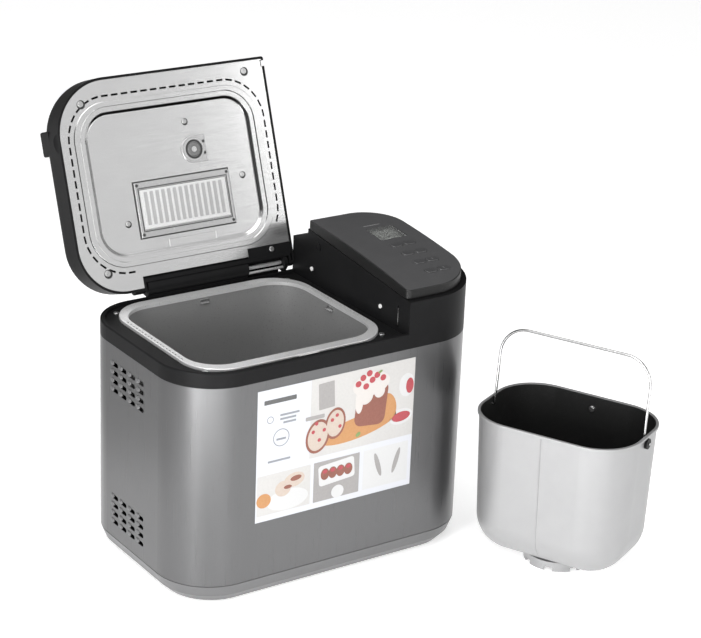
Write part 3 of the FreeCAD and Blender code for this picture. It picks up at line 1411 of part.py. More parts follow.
def dispenser_hatch():
    """The cover over the nut hopper and the yeast cup on the lid's top."""
    plan = shrink(hatch_plan(), HATCH_GAP)
    skin = prism(plan, LID_TOP - PLASTIC_WALL, LID_TOP + HATCH_PROUD)
    skin = filleted(skin, 1.2, at_height(LID_TOP + HATCH_PROUD))
    return skin.cut(hatch_pin(HATCH_PIN_RADIUS + RUNNING_CLEARANCE))


def lid_pins():
    """The pins that the nut flap and the hatch swing on."""
    return group([flap_pin_bore(FLAP_PIN_RADIUS), hatch_pin(HATCH_PIN_RADIUS)])


def swung_open(shape):
    """A lid piece turned from closed to open about the hinge axis."""
    shape.rotate(V(0, HINGE_Y, HINGE_Z), AXIS_X, -LID_OPEN_ANGLE)
    return shape


# ---- bread pan, drawn along X and then turned into place ----------------------------------------------
def pan_plan(inset):
    half_x = PAN_LENGTH / 2
    half_y = PAN_WIDTH / 2
    return shrink(box_plan(-half_x, half_x, -half_y, half_y, PAN_CORNER), inset)


def pan_sections(inset, floor, top):
    """Sections of the pan's bowl: a large radius at the floor, then a slightly tapered wall."""
    sections = []
    radius = PAN_BOTTOM_RADIUS - inset
    for degrees in (0, 15, 30, 45, 60, 75, 90):
        angle = math.radians(degrees)
        height = floor + radius * (1 - math.cos(angle))
        taper = PAN_DRAFT * (top - height) / (top - floor)
        sections.append((pan_plan(PAN_RIM + inset + taper + radius * (1 - math.sin(angle))), height))
    sections.append((pan_plan(PAN_RIM + inset), top))
    return sections


def bowl(inset, floor, top):
    return smooth_loft(pan_sections(inset, floor, top)[:-1]).fuse(
        tapered(pan_sections(inset, floor, top)[-2:])
    )


def pan_body():
    floor = PEDESTAL_HEIGHT
    outer = bowl(0.0, floor, PAN_HEIGHT)
    flange = prism(pan_plan(0.0), PAN_HEIGHT - PAN_RIM_HEIGHT, PAN_HEIGHT)
    flange = filleted(flange, 1.0, at_height(PAN_HEIGHT))
    inner = bowl(PAN_WALL, floor + PAN_WALL, PAN_HEIGHT + 0.01)
    body = outer.fuse(flange).cut(inner)
    hole = Part.makeCylinder(PAN_BUSH_RADIUS + RUNNING_CLEARANCE, 10.0, V(0, 0, floor - 2.0))
    return body.cut([hole, bail_holes(BAIL_RADIUS + BAIL_HOLE_GAP)])


def nonstick_lining():
    """The dark coating on the inside of the pan."""
    floor = PEDESTAL_HEIGHT + PAN_WALL
    top = PAN_HEIGHT - PAN_RIM_HEIGHT * 0.4
    outer = bowl(PAN_WALL, floor, PAN_HEIGHT + 0.01)
    inner = bowl(PAN_WALL + PAN_LINING, floor + PAN_LINING, PAN_HEIGHT + 0.02)
    skin = outer.cut(inner).common(block(-PAN_LENGTH, PAN_LENGTH, -PAN_WIDTH, PAN_WIDTH, 0, top))
    hole = Part.makeCylinder(PAN_BUSH_RADIUS + 0.6, 10.0, V(0, 0, floor - 2.0))
    return skin.cut([hole, bail_holes(BAIL_RADIUS + BAIL_HOLE_GAP)])


def bail_holes(radius):
    return Part.makeCylinder(radius, PAN_LENGTH + 20.0, V(-PAN_LENGTH / 2 - 10.0, 0, BAIL_PIVOT), AXIS_X)


def bail_clips():
    """The round black washers outside each short wall that keep the bail in its holes."""
    solids = []
    wall = bowl(0.0, PEDESTAL_HEIGHT, PAN_HEIGHT)
    reach = PAN_LENGTH / 2 - PAN_RIM
    for side in (-1, 1):
        start = V(side * (reach - 1.0), 0, BAIL_PIVOT)
        length = BAIL_CLIP_THICKNESS + 1.0
        washer = tube(BAIL_CLIP_RADIUS, BAIL_RADIUS + BAIL_HOLE_GAP, length, start, V(side, 0, 0))
        solids.append(washer.cut(wall))
    return group(solids)


def pan_bail():
    """The carrying handle: one wire with a hook at each end through the pan's short walls."""
    span = BAIL_HALF_SPAN
    hook = PAN_LENGTH / 2 - PAN_RIM + BAIL_CLIP_THICKNESS + 1.5
    top = BAIL_PIVOT + BAIL_HEIGHT
    points = [
        V(-hook, 0, BAIL_PIVOT),
        V(-span, 0, BAIL_PIVOT),
        V(-span, 0, top),
        V(span, 0, top),
        V(span, 0, BAIL_PIVOT),
        V(hook, 0, BAIL_PIVOT),
    ]
    bend = BAIL_RADIUS * 1.1
    bail = wire_rod(points, [bend, BAIL_CORNER, BAIL_CORNER, bend], BAIL_RADIUS)
    bail.rotate(V(0, 0, BAIL_PIVOT), AXIS_X, -BAIL_TILT)
    return bail


def pan_pedestal():
    """The ring foot under the pan, with gaps between the lugs that lock it in the chamber."""
    ring = tube(PEDESTAL_RADIUS, PEDESTAL_RADIUS - PEDESTAL_WALL, PEDESTAL_HEIGHT, V(0, 0, 0))
    disc = tube(PEDESTAL_RADIUS, PAN_BUSH_RADIUS + RUNNING_CLEARANCE, 2.0, V(0, 0, PEDESTAL_HEIGHT - 2.0))
    body = ring.fuse(disc).removeSplitter()
    cuts = []
    for index in range(PEDESTAL_LUGS):
        gap = block(PEDESTAL_RADIUS - 8.0, PEDESTAL_RADIUS + 2.0, -5.0, 5.0, 0, PEDESTAL_HEIGHT * 0.4)
        gap.rotate(V(0, 0, 0), AXIS_Z, 360.0 * index / PEDESTAL_LUGS + 10.0)
        cuts.append(gap)
    return body.cut(cuts)


def shaft_bush():
    """The bearing and seal that the kneading shaft turns in."""
    low = PEDESTAL_HEIGHT - 3.0
    body = Part.makeCylinder(PAN_BUSH_RADIUS, PAN_BUSH_HEIGHT, V(0, 0, low))
    body = filleted(body, 1.0, at_height(low + PAN_BUSH_HEIGHT))
    return body.cut(Part.makeCylinder(PAN_SHAFT_RADIUS + RUNNING_CLEARANCE, 40.0, V(0, 0, 0)))


def blade_floor():
    return PEDESTAL_HEIGHT - 3.0 + PAN_BUSH_HEIGHT + BLADE_LIFT


def pan_coupling():
    """The kneading shaft and the two-winged half of the drive at its foot."""
    low = 2.0
    shaft = Part.makeCylinder(PAN_SHAFT_RADIUS, blade_floor() + 14.0 - low, V(0, 0, low))
    hub = Part.makeCylinder(7.5, 6.0, V(0, 0, low))
    half = COUPLING_WING_THICKNESS / 2
    wings = block(-COUPLING_WING, COUPLING_WING, -half, half, low, low + 4.0)
    return joined([shaft, hub, wings])


def kneading_blade():
    """The paddle: a hub with one raked wing that thins towards its tip."""
    low = blade_floor()
    hub = Part.makeCylinder(BLADE_HUB_RADIUS, 20.0, V(0, 0, low))
    hub = filleted(hub, 2.0, at_height(low + 20.0))
    half = BLADE_THICKNESS / 2
    profile = [
        V(0, -half, low),
        V(BLADE_REACH, -half, low),
        V(BLADE_REACH - 6.0, -half, low + BLADE_HEIGHT * 0.7),
        V(BLADE_REACH - 20.0, -half, low + BLADE_HEIGHT),
        V(0, -half, low + 14.0),
    ]
    wing = Part.Face(Part.makePolygon(profile + profile[:1])).extrude(V(0, BLADE_THICKNESS, 0))
    body = joined([hub, wing])
    return body.cut(Part.makeCylinder(PAN_SHAFT_RADIUS, 14.0, V(0, 0, low)))


def wall_rivet():
    """The round rivet inside the far long wall, near the rim."""
    wall = PAN_WIDTH / 2 - PAN_RIM - PAN_WALL - PAN_LINING
    head = Part.makeCylinder(3.8, 4.0, V(0, wall - 2.6, PAN_HEIGHT - 17.0), AXIS_Y)
    head = filleted(head, 0.7, lambda edge: edge.BoundBox.YMax < wall - 2.5)
    lining = PAN_WALL + PAN_LINING
    return head.common(bowl(lining, PEDESTAL_HEIGHT + lining, PAN_HEIGHT + 0.02))


def pan_fittings():
    return group([shaft_bush(), wall_rivet()])


def in_place(shape):
    """A pan piece turned and set down beside the machine."""
    shape.rotate(V(0, 0, 0), AXIS_Z, PAN_TURN)
    shape.translate(V(PAN_CENTRE[0], PAN_CENTRE[1], 0))
    return shape


# ---- the set ------------------------------------------------------------------------------------
MACHINE_NODES = (
    base_pan,
    feet,
    body_shell,
    top_housing,
    hinge_pins,
    machine_screws,
    lid_buffers,
    front_label,
    cord_gland,
    chamber,
    chamber_rim,
    chamber_clips,
    temperature_sensor,
    heater_element,
    heat_shield,
    chassis,
    shaft_bearing,
    drive_shaft,
    drive_coupling,
    large_pulley,
    small_pulley,
    drive_belt,
    motor_body,
    motor_rotor,
    power_board,
    control_panel,
    display_lens,
    lcd_module,
    status_light,
    control_board,
)

LID_NODES = (
    lid_shell,
    lid_inner_plate,
    lid_screws,
    lid_grip,
    lid_hinge_cover,
    lid_pins,
    flap_frame,
    nut_flap,
    dispenser_hopper,
    yeast_housing,
    yeast_valve,
    valve_solenoid,
    dispenser_hatch,
)

PAN_NODES = (
    pan_body,
    nonstick_lining,
    bail_clips,
    pan_bail,
    pan_pedestal,
    pan_fittings,
    pan_coupling,
    kneading_blade,
)


def build():
    """Every node of the set by name, about the middle of the machine's footprint."""
    nodes = {make.__name__: make() for make in MACHINE_NODES}
    for index, button in enumerate(buttons(), start=1):
        nodes["button_%d" % index] = button
    nodes.update({make.__name__: swung_open(make()) for make in LID_NODES})
    nodes.update({make.__name__: in_place(make()) for make in PAN_NODES})
    return nodes


def centre_on_table(nodes):
    """Moves the set so that the origin is the middle of its footprint, on the table."""
    box = FreeCAD.BoundBox()
    for shape in nodes.values():
        box.add(shape.optimalBoundingBox(False, False))
    for shape in nodes.values():
        shape.translate(V(-box.Center.x, -box.Center.y, -box.ZMin))
    print("machine centre in the frame: %.4f %.4f" % (-box.Center.x, -box.Center.y))


def main():
    os.makedirs("parts", exist_ok=True)
    nodes = build()
    centre_on_table(nodes)
    for name, shape in nodes.items():
        shape.exportStep("parts/%s.step" % name)
    print(len(nodes), "nodes")


main()
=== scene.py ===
# %% [markdown]
# # A bread machine with its lid open
# The machine's shape, its joints and every mechanical piece come from a CAD model that is already packed.
# Here it gets its looks: what each surface is made of, the printed and pressed details that are too fine
# for the CAD, a table to stand on, studio light and a camera. Everything is in metres, in the CAD's frame,
# so a detail goes exactly where the CAD says its carrier is.

# %% Load the frame
import math

import bmesh
import bpy
from mathutils import Matrix, Vector


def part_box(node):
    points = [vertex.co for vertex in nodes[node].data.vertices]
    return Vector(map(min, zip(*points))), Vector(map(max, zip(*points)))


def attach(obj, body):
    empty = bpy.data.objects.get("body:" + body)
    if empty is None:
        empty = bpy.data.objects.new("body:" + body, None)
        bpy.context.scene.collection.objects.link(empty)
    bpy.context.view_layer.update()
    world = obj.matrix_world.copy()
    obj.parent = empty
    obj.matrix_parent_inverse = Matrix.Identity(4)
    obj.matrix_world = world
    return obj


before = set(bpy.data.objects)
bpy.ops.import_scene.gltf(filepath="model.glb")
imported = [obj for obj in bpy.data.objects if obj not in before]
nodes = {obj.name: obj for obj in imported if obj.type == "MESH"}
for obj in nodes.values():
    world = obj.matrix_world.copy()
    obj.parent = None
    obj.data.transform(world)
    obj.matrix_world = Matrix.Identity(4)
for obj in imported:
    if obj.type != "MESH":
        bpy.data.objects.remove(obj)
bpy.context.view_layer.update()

# %% [markdown]
# ## Where things are
# The base pan's footprint gives the middle of the machine, and the pan's own box gives the middle of the
# bread pan. Measuring them once keeps every later number short: a few millimetres from a known middle.

# %% Middles and a millimetre
MM = 0.001


def middle(node):
    low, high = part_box(node)
    return (low + high) / 2


def spot(x, y, z):
    """A point given in millimetres from the middle of the machine's footprint, on the table."""
    centre = middle("base_pan")
    return Vector((centre.x + x * MM, centre.y + y * MM, z * MM))


pan_middle = middle("pan_body")
print("machine middle:", [round(v, 4) for v in spot(0, 0, 0)])
print("pan middle:", [round(v, 4) for v in pan_middle])

# %% [markdown]
# ## The camera
# A product shot is taken from far away with a long lens, so that upright edges stay almost parallel. The
# camera stands to the left of the front and looks down a little. Its three axes are built from those two
# angles and a small roll, and go straight into its matrix.

# %% Camera
VIEW_AZIMUTH = math.radians(-34.64)
VIEW_ELEVATION = math.radians(21.38)
VIEW_ROLL = math.radians(2.27)
LENS_MM = 114.42
CAMERA_PLACE = (-1331.8, -2063.4, 1250.6)

back = Vector(
    (
        math.sin(VIEW_AZIMUTH) * math.cos(VIEW_ELEVATION),
        -math.cos(VIEW_AZIMUTH) * math.cos(VIEW_ELEVATION),
        math.sin(VIEW_ELEVATION),
    )
)
level_right = (-back).cross(Vector((0, 0, 1))).normalized()
level_up = level_right.cross(-back)
camera_x = level_right * math.cos(VIEW_ROLL) + level_up * math.sin(VIEW_ROLL)
camera_y = -level_right * math.sin(VIEW_ROLL) + level_up * math.cos(VIEW_ROLL)

camera_data = bpy.data.cameras.new("camera")
camera_data.lens = LENS_MM
camera_data.sensor_width = 36.0
camera_data.sensor_fit = "HORIZONTAL"
camera_data.clip_end = 60.0
camera = bpy.data.objects.new("camera", camera_data)
bpy.context.scene.collection.objects.link(camera)
camera.matrix_world = Matrix((camera_x, camera_y, back)).transposed().to_4x4()
camera.location = spot(*CAMERA_PLACE)
bpy.context.scene.camera = camera
print("camera stands", round((camera.location - spot(0, 0, 150)).length, 2), "m away")

# %% [markdown]
# ## The room
# A plain pale table runs off past the view in every direction. The world is a soft even white, like a light
# tent with brighter and darker patches. Five lamps shape the metal: a broad one overhead, three upright
# strips at the left and front that draw the streaks on the rounded corner, and a panel at the right that
# lifts the pan's side.

# %% Table, world and lamps
def math_node(tree, operation, *values, clamp=False):
    """A Math node; each value is a number or a socket that feeds it."""
    node = tree.nodes.new("ShaderNodeMath")
    node.operation = operation
    node.use_clamp = clamp
    for socket, value in zip(node.inputs, values):
        if isinstance(value, (int, float)):
            socket.default_value = value
        else:
            tree.links.new(value, socket)
    return node.outputs[0]


def area_lamp(name, place, target, width, height, watts):
    """A rectangular lamp that faces a target."""
    lamp = bpy.data.lights.new(name, "AREA")
    lamp.shape = "RECTANGLE"
    lamp.size = width
    lamp.size_y = height
    lamp.energy = watts
    holder = bpy.data.objects.new(name, lamp)
    bpy.context.scene.collection.objects.link(holder)
    holder.location = place
    holder.rotation_euler = (target - place).to_track_quat("-Z", "Y").to_euler()


def soft_lobe(tree, direction, azimuth, height, wide, narrow):
    """A smooth patch of 0 to 1 on the sky. Azimuth 0 is the front and 90 the right, all in degrees."""
    turn, rise = math.radians(azimuth), math.radians(height)
    centre = (math.sin(turn) * math.cos(rise), -math.cos(turn) * math.cos(rise), math.sin(rise))
    facing = tree.nodes.new("ShaderNodeVectorMath")
    facing.operation = "DOT_PRODUCT"
    tree.links.new(direction, facing.inputs[0])
    facing.inputs[1].default_value = centre
    patch = tree.nodes.new("ShaderNodeMapRange")
    patch.interpolation_type = "SMOOTHSTEP"
    tree.links.new(facing.outputs["Value"], patch.inputs["Value"])
    patch.inputs["From Min"].default_value = math.cos(math.radians(wide))
    patch.inputs["From Max"].default_value = math.cos(math.radians(narrow))
    return patch.outputs["Result"]


TENT_LEVEL = 0.62
BASE_LEVEL = 0.42
BRIGHT_LOBES = (
    (-50, 10, 75, 15, 1.1),
    (38, 12, 45, 12, 0.55),
    (0, 90, 70, 20, 0.35),
    (-150, 30, 50, 15, 0.05),
)
DARK_LOBE = (120, 5, 62, 30)
DARK_SHARE = 0.9
world = bpy.data.worlds.new("light_tent")
world.use_nodes = True
sky = world.node_tree
direction = sky.nodes.new("ShaderNodeTexCoord").outputs["Generated"]
level = BASE_LEVEL
for *lobe, share in BRIGHT_LOBES:
    patch = math_node(sky, "MULTIPLY", soft_lobe(sky, direction, *lobe), share)
    level = math_node(sky, "ADD", level, patch)
shade = math_node(sky, "MULTIPLY", soft_lobe(sky, direction, *DARK_LOBE), DARK_SHARE)
level = math_node(sky, "MULTIPLY", level, math_node(sky, "SUBTRACT", 1.0, shade))
level = math_node(sky, "MULTIPLY", level, TENT_LEVEL)
sky.links.new(level, sky.nodes["Background"].inputs["Strength"])
sky.nodes["Background"].inputs["Color"].default_value = (1.0, 1.0, 1.0, 1.0)
bpy.context.scene.world = world
bpy.context.scene.view_settings.view_transform = "Standard"

aim = spot(40, -40, 170)
area_lamp("overhead", spot(-300, -300, 1900), aim, 1.6, 1.6, 17)
area_lamp("left_strip", spot(-1500, -900, 700), aim, 0.35, 1.6, 11)
area_lamp("corner_strip", spot(-1100, -650, 320), aim, 0.22, 0.6, 7)
area_lamp("front_strip", spot(-260, -1250, 320), aim, 0.12, 0.6, 4)
area_lamp("right_panel", spot(1500, -1300, 700), aim, 0.7, 1.2, 7)

FLOOR_HALF = 12.0
floor_mesh = bmesh.new()
bmesh.ops.create_grid(floor_mesh, x_segments=1, y_segments=1, size=FLOOR_HALF)
floor_data = bpy.data.meshes.new("table_top")
floor_mesh.to_mesh(floor_data)
floor_mesh.free()
table_top = bpy.data.objects.new("table_top", floor_data)
bpy.context.scene.collection.objects.link(table_top)

# %% [markdown]
# ## Shared effects
# Real surfaces are never one flat value. Two node groups carry that everywhere: "grain" gives a fine and a
# cloudy pattern from the object's own coordinates, stretched along one direction for brushed metal, and
# "dust" gives a mask that settles only on faces that look up. Each material mixes them in its own amounts.

# %% Node group helpers
def new_group(name, inputs, outputs):
    """An empty shader group with its sockets, and the nodes its wires start and end at."""
    group = bpy.data.node_groups.new(name, "ShaderNodeTree")
    for label, kind, value in inputs:
        socket = group.interface.new_socket(label, in_out="INPUT", socket_type=kind)
        socket.default_value = value
    for label, kind in outputs:
        group.interface.new_socket(label, in_out="OUTPUT", socket_type=kind)
    return group, group.nodes.new("NodeGroupInput"), group.nodes.new("NodeGroupOutput")


def noise(tree, vector, scale, detail=3.0, roughness=0.55):
    """A noise texture's grey value; its scale is a number or a socket."""
    node = tree.nodes.new("ShaderNodeTexNoise")
    node.inputs["Detail"].default_value = detail
    node.inputs["Roughness"].default_value = roughness
    tree.links.new(vector, node.inputs["Vector"])
    if isinstance(scale, (int, float)):
        node.inputs["Scale"].default_value = scale
    else:
        tree.links.new(scale, node.inputs["Scale"])
    return node.outputs["Fac"]


# %% The grain group
CLOUD_SHARE = 0.03


def build_grain():
    """A fine pattern that can be stretched into brush marks, and a cloudy one thirty times broader."""
    inputs = [
        ("Position", "NodeSocketVector", (0, 0, 0)),
        ("Stretch", "NodeSocketVector", (1, 1, 1)),
        ("Scale", "NodeSocketFloat", 500.0),
    ]
    outputs = [("Fine", "NodeSocketFloat"), ("Cloud", "NodeSocketFloat")]
    group, start, end = new_group("grain", inputs, outputs)
    stretched = group.nodes.new("ShaderNodeVectorMath")
    stretched.operation = "MULTIPLY"
    group.links.new(start.outputs["Position"], stretched.inputs[0])
    group.links.new(start.outputs["Stretch"], stretched.inputs[1])
    fine = noise(group, stretched.outputs[0], start.outputs["Scale"], 4.0, 0.6)
    broad_scale = math_node(group, "MULTIPLY", start.outputs["Scale"], CLOUD_SHARE)
    cloud = noise(group, start.outputs["Position"], broad_scale, 2.0)
    group.links.new(fine, end.inputs["Fine"])
    group.links.new(cloud, end.inputs["Cloud"])
    return group


GRAIN = build_grain()


# %% The dust group
DUST_SCALE = 60.0


def build_dust():
    """A patchy mask that is strongest on faces that look up."""
    inputs = [("Position", "NodeSocketVector", (0, 0, 0)), ("Amount", "NodeSocketFloat", 0.1)]
    group, start, end = new_group("dust", inputs, [("Mask", "NodeSocketFloat")])
    geometry = group.nodes.new("ShaderNodeNewGeometry")
    split = group.nodes.new("ShaderNodeSeparateXYZ")
    group.links.new(geometry.outputs["Normal"], split.inputs[0])
    upward = math_node(group, "MULTIPLY_ADD", split.outputs["Z"], 0.5, 0.5, clamp=True)
    patches = noise(group, start.outputs["Position"], DUST_SCALE, 4.0)
    speckle = math_node(group, "MULTIPLY", upward, patches)
    amount = math_node(group, "MULTIPLY", speckle, start.outputs["Amount"], clamp=True)
    group.links.new(amount, end.inputs["Mask"])
    return group


DUST = build_dust()
print("node groups:", [group.name for group in bpy.data.node_groups])

# %% [markdown]
# ## One recipe for a finish
# Most finishes here differ only in numbers: a darker and a lighter tone that the cloudy pattern mixes, a
# rough and a smooth value that the fine pattern picks between, and how deep the surface's relief is. One
# recipe that takes those numbers keeps every material readable. Steady values such as metallic or coat are
# set on the shader itself.

# %% The finish recipe
GRAIN_LOW = 0.3
GRAIN_HIGH = 0.7
DUST_TONE = (0.55, 0.54, 0.52)


def grey(value):
    return (value, value, value)


def place_group(tree, group, position, **values):
    """One use of a node group, reading the given coordinates."""
    node = tree.nodes.new("ShaderNodeGroup")
    node.node_tree = group
    tree.links.new(position, node.inputs["Position"])
    for label, value in values.items():
        node.inputs[label].default_value = value
    return node


def mixed(tree, factor, first, second):
    """A mix of two colours, each given as a tuple or a socket."""
    node = tree.nodes.new("ShaderNodeMix")
    node.data_type = "RGBA"
    for socket, value in ((node.inputs[6], first), (node.inputs[7], second)):
        if isinstance(value, tuple):
            socket.default_value = (*value, 1.0)
        else:
            tree.links.new(value, socket)
    tree.links.new(factor, node.inputs[0])
    return node.outputs[2]


def finish(name, dark, light, rough, scale=600.0, stretch=(1, 1, 1), relief=0.2, dust=0.0, **steady):
    """A material whose tone, roughness and relief vary with the grain; steady values go on the shader."""
    material = bpy.data.materials.new(name)
    material.use_nodes = True
    tree = material.node_tree
    shader = tree.nodes["Principled BSDF"]
    position = tree.nodes.new("ShaderNodeTexCoord").outputs["Object"]
    grain = place_group(tree, GRAIN, position, Scale=scale, Stretch=stretch)
    fine = math_node(tree, "MULTIPLY", grain.outputs["Fine"], 0.5)
    cloud = math_node(tree, "MULTIPLY", grain.outputs["Cloud"], 0.5)
    colour = mixed(tree, math_node(tree, "ADD", fine, cloud, clamp=True), dark, light)
    if dust > 0:
        mask = place_group(tree, DUST, position, Amount=dust)
        colour = mixed(tree, mask.outputs["Mask"], colour, DUST_TONE)
    tree.links.new(colour, shader.inputs["Base Color"])
    spread = tree.nodes.new("ShaderNodeMapRange")
    tree.links.new(grain.outputs["Fine"], spread.inputs["Value"])
    spread.inputs["From Min"].default_value = GRAIN_LOW
    spread.inputs["From Max"].default_value = GRAIN_HIGH
    spread.inputs["To Min"].default_value = rough[0]
    spread.inputs["To Max"].default_value = rough[1]
    tree.links.new(spread.outputs["Result"], shader.inputs["Roughness"])
    bump = tree.nodes.new("ShaderNodeBump")
    bump.inputs["Strength"].default_value = relief
    bump.inputs["Distance"].default_value = 0.1 * MM
    tree.links.new(grain.outputs["Fine"], bump.inputs["Height"])
    tree.links.new(bump.outputs["Normal"], shader.inputs["Normal"])
    for label, value in steady.items():
        shader.inputs[label.replace("_", " ")].default_value = value
    return material


def dress(material, *names):
    """Gives CAD nodes a material in place of their own."""
    for name in names:
        nodes[name].data.materials.clear()
        nodes[name].data.materials.append(material)


# %% [markdown]
# ## The table
# A pale laminate: nearly white, with a trace of mottling so that it doesn't read as empty space. It also
# glows a little, though it is no lamp. The upright steel walls mirror it, so the glow has a painted shade
# behind the right of the machine, which darkens that corner, and a painted pool of light in front.

# %% Table finish and its painted glow
table_finish = finish(
    "pale_laminate_painted_glow",
    grey(0.88),
    grey(0.93),
    (0.5, 0.6),
    scale=90.0,
    relief=0.02,
    Emission_Color=(1.0, 1.0, 1.0, 1.0),
)
table_top.data.materials.append(table_finish)

GLOW_LEVEL = 0.52
POOL_LEVEL = 3.5
SHADE_ACROSS = (-0.38, -0.54)
SHADE_ALONG = (-0.75, -0.5)
POOL_NEAR = (0.62, 0.85)
POOL_FAR = (1.5, 1.1)
POOL_SIDES = ((-0.65, -0.3), (0.35, 0.05))
toward_camera = Vector((back.x, back.y, 0)).normalized()
glow = table_finish.node_tree
glow_place = glow.nodes.new("ShaderNodeTexCoord").outputs["Object"]


def glow_step(tree, start, stop, axis, offset):
    """Rises smoothly from 0 to 1 as the distance along an axis from the machine goes from start to stop."""
    along = tree.nodes.new("ShaderNodeVectorMath")
    along.operation = "DOT_PRODUCT"
    tree.links.new(glow_place, along.inputs[0])
    along.inputs[1].default_value = axis
    ramp = tree.nodes.new("ShaderNodeMapRange")
    ramp.interpolation_type = "SMOOTHSTEP"
    tree.links.new(along.outputs["Value"], ramp.inputs["Value"])
    ramp.inputs["From Min"].default_value = start + offset.dot(axis)
    ramp.inputs["From Max"].default_value = stop + offset.dot(axis)
    return ramp.outputs["Result"]


centre = spot(0, 0, 0)
# Painted shade: the glow drops behind the right of the machine, so the steel's right corner mirrors less.
side_shade = math_node(
    glow,
    "MULTIPLY",
    glow_step(glow, *SHADE_ACROSS, level_right, centre),
    glow_step(glow, *SHADE_ALONG, toward_camera, centre),
)
even = math_node(glow, "SUBTRACT", 1.0, side_shade)
# Painted pool of light: a bright patch of glow in front of the machine.
pool = math_node(
    glow,
    "MULTIPLY",
    glow_step(glow, *POOL_NEAR, toward_camera, centre),
    glow_step(glow, *POOL_FAR, toward_camera, centre),
)
for edge in POOL_SIDES:
    pool = math_node(glow, "MULTIPLY", pool, glow_step(glow, *edge, level_right, centre))
even_part = math_node(glow, "MULTIPLY", even, GLOW_LEVEL)
pool_part = math_node(glow, "MULTIPLY", pool, POOL_LEVEL)
total = math_node(glow, "ADD", even_part, pool_part)
glow.links.new(total, glow.nodes["Principled BSDF"].inputs["Emission Strength"])

# %% [markdown]
# ## The steel body
# The wrap is satin steel with a graphite tint. Its fine vertical brushing is the same noise squeezed along
# Z, so each streak runs the height of the body. The grey base moulding below has no brushing.

# %% Body finishes
graphite_steel = finish(
    "graphite_steel",
    (0.125, 0.125, 0.127),
    (0.138, 0.138, 0.140),
    (0.27, 0.31),
    scale=900.0,
    stretch=(1, 1, 0.012),
    relief=0.015,
    Metallic=0.85,
)
base_grey = finish(
    "base_grey",
    (0.115, 0.115, 0.117),
    (0.14, 0.14, 0.142),
    (0.34, 0.42),
    scale=1500.0,
    relief=0.12,
    Metallic=0.35,
)
dress(graphite_steel, "body_shell")
dress(base_grey, "base_pan")

# %% [markdown]
# ## Black mouldings
# The deck, the tower and the lid are black plastic with a very fine spark-eroded grain. The panel on the
# tower is a dark brushed film, a little lighter and smoother. Dust shows on black before it shows anywhere
# else, so these take a trace of it on faces that look up.

# %% Black finishes
black_moulding = finish(
    "black_moulding",
    (0.004, 0.004, 0.0043),
    (0.008, 0.008, 0.0085),
    (0.38, 0.50),
    scale=1800.0,
    relief=0.15,
    dust=0.006,
    Specular_IOR_Level=0.1,
)
gloss_black = finish(
    "gloss_black",
    (0.006, 0.006, 0.0065),
    (0.010, 0.010, 0.0105),
    (0.16, 0.26),
    scale=1400.0,
    relief=0.05,
    dust=0.005,
    Specular_IOR_Level=0.35,
)
panel_film = finish(
    "panel_film",
    (0.075, 0.075, 0.077),
    (0.10, 0.10, 0.102),
    (0.34, 0.46),
    scale=1500.0,
    stretch=(0.03, 1, 1),
    relief=0.06,
    dust=0.005,
    Metallic=0.3,
    Specular_IOR_Level=0.3,
)
rubber_black = finish("rubber_black", grey(0.015), grey(0.03), (0.7, 0.85), scale=900.0, relief=0.3)
dress(
    black_moulding,
    "top_housing",
    "lid_shell",
    "lid_grip",
    "lid_hinge_cover",
    "dispenser_hopper",
    "cord_gland",
)
dress(gloss_black, "dispenser_hatch")
dress(panel_film, "control_panel")
dress(rubber_black, "feet", "drive_belt")
button_film = finish(
    "button_film",
    (0.065, 0.065, 0.067),
    (0.085, 0.085, 0.087),
    (0.3, 0.4),
    scale=1500.0,
    relief=0.05,
    Metallic=0.3,
)
dress(button_film, *[name for name in nodes if name.startswith("button_")])

# %% [markdown]
# ## Bright metal
# The lid's inner plate is satin stainless sheet, the chamber's rim is brighter, and the dispenser's frame
# and ribbed flap are bright metal too. They share a recipe and differ in roughness and in the direction of
# their grain.

# %% Bright finishes
plate_steel = finish(
    "plate_steel",
    grey(0.70),
    grey(0.78),
    (0.14, 0.22),
    scale=1100.0,
    stretch=(0.03, 1, 1),
    relief=0.05,
    Metallic=0.9,
)
rim_steel = finish(
    "rim_steel", grey(0.78), grey(0.88), (0.26, 0.38), scale=900.0, relief=0.05, Metallic=0.6
)
dispenser_white = finish(
    "dispenser_white", grey(0.48), grey(0.55), (0.22, 0.34), scale=900.0, relief=0.04
)
dispenser_grey = finish(
    "dispenser_grey", grey(0.36), grey(0.50), (0.18, 0.28), scale=900.0, relief=0.04, Metallic=0.6
)
valve_grey = finish("valve_grey", grey(0.09), grey(0.14), (0.2, 0.3), scale=900.0, relief=0.04)
zinc = finish("zinc", grey(0.45), grey(0.62), (0.22, 0.4), scale=1200.0, relief=0.1, Metallic=1.0)
pin_steel = finish(
    "pin_steel", grey(0.62), grey(0.78), (0.25, 0.4), scale=700.0, relief=0.1, Metallic=0.8
)

# %% [markdown]
# ## Painted bands along a fold
# Where a bright sheet is folded it mirrors something else than its face does, and that is painted into its
# colour: painted shade on the side that looks down and left, and a painted highlight on the other. The mask
# compares the surface's normal with the face's.

# %% Painted fold shade and highlight
LID_FACE = (0.0, -0.942, 0.336)
PANEL_FACE = (0.0, -0.105, 0.994)
PAINTED_SHADE_SIDE = (-0.50, -0.29, -0.82)
FOLD_RANGE = (0.985, 0.86)
SIDE_RANGE = (-0.25, 0.20)


def facing(tree, direction, start, end):
    """A mask from 0 to 1 as the surface's own normal goes from start to end along a direction."""
    turned = tree.nodes.new("ShaderNodeVectorMath")
    turned.operation = "DOT_PRODUCT"
    tree.links.new(tree.nodes.new("ShaderNodeTexCoord").outputs["Normal"], turned.inputs[0])
    turned.inputs[1].default_value = direction
    ramp = tree.nodes.new("ShaderNodeMapRange")
    tree.links.new(turned.outputs["Value"], ramp.inputs["Value"])
    ramp.inputs["From Min"].default_value = start
    ramp.inputs["From Max"].default_value = end
    return ramp.outputs["Result"]


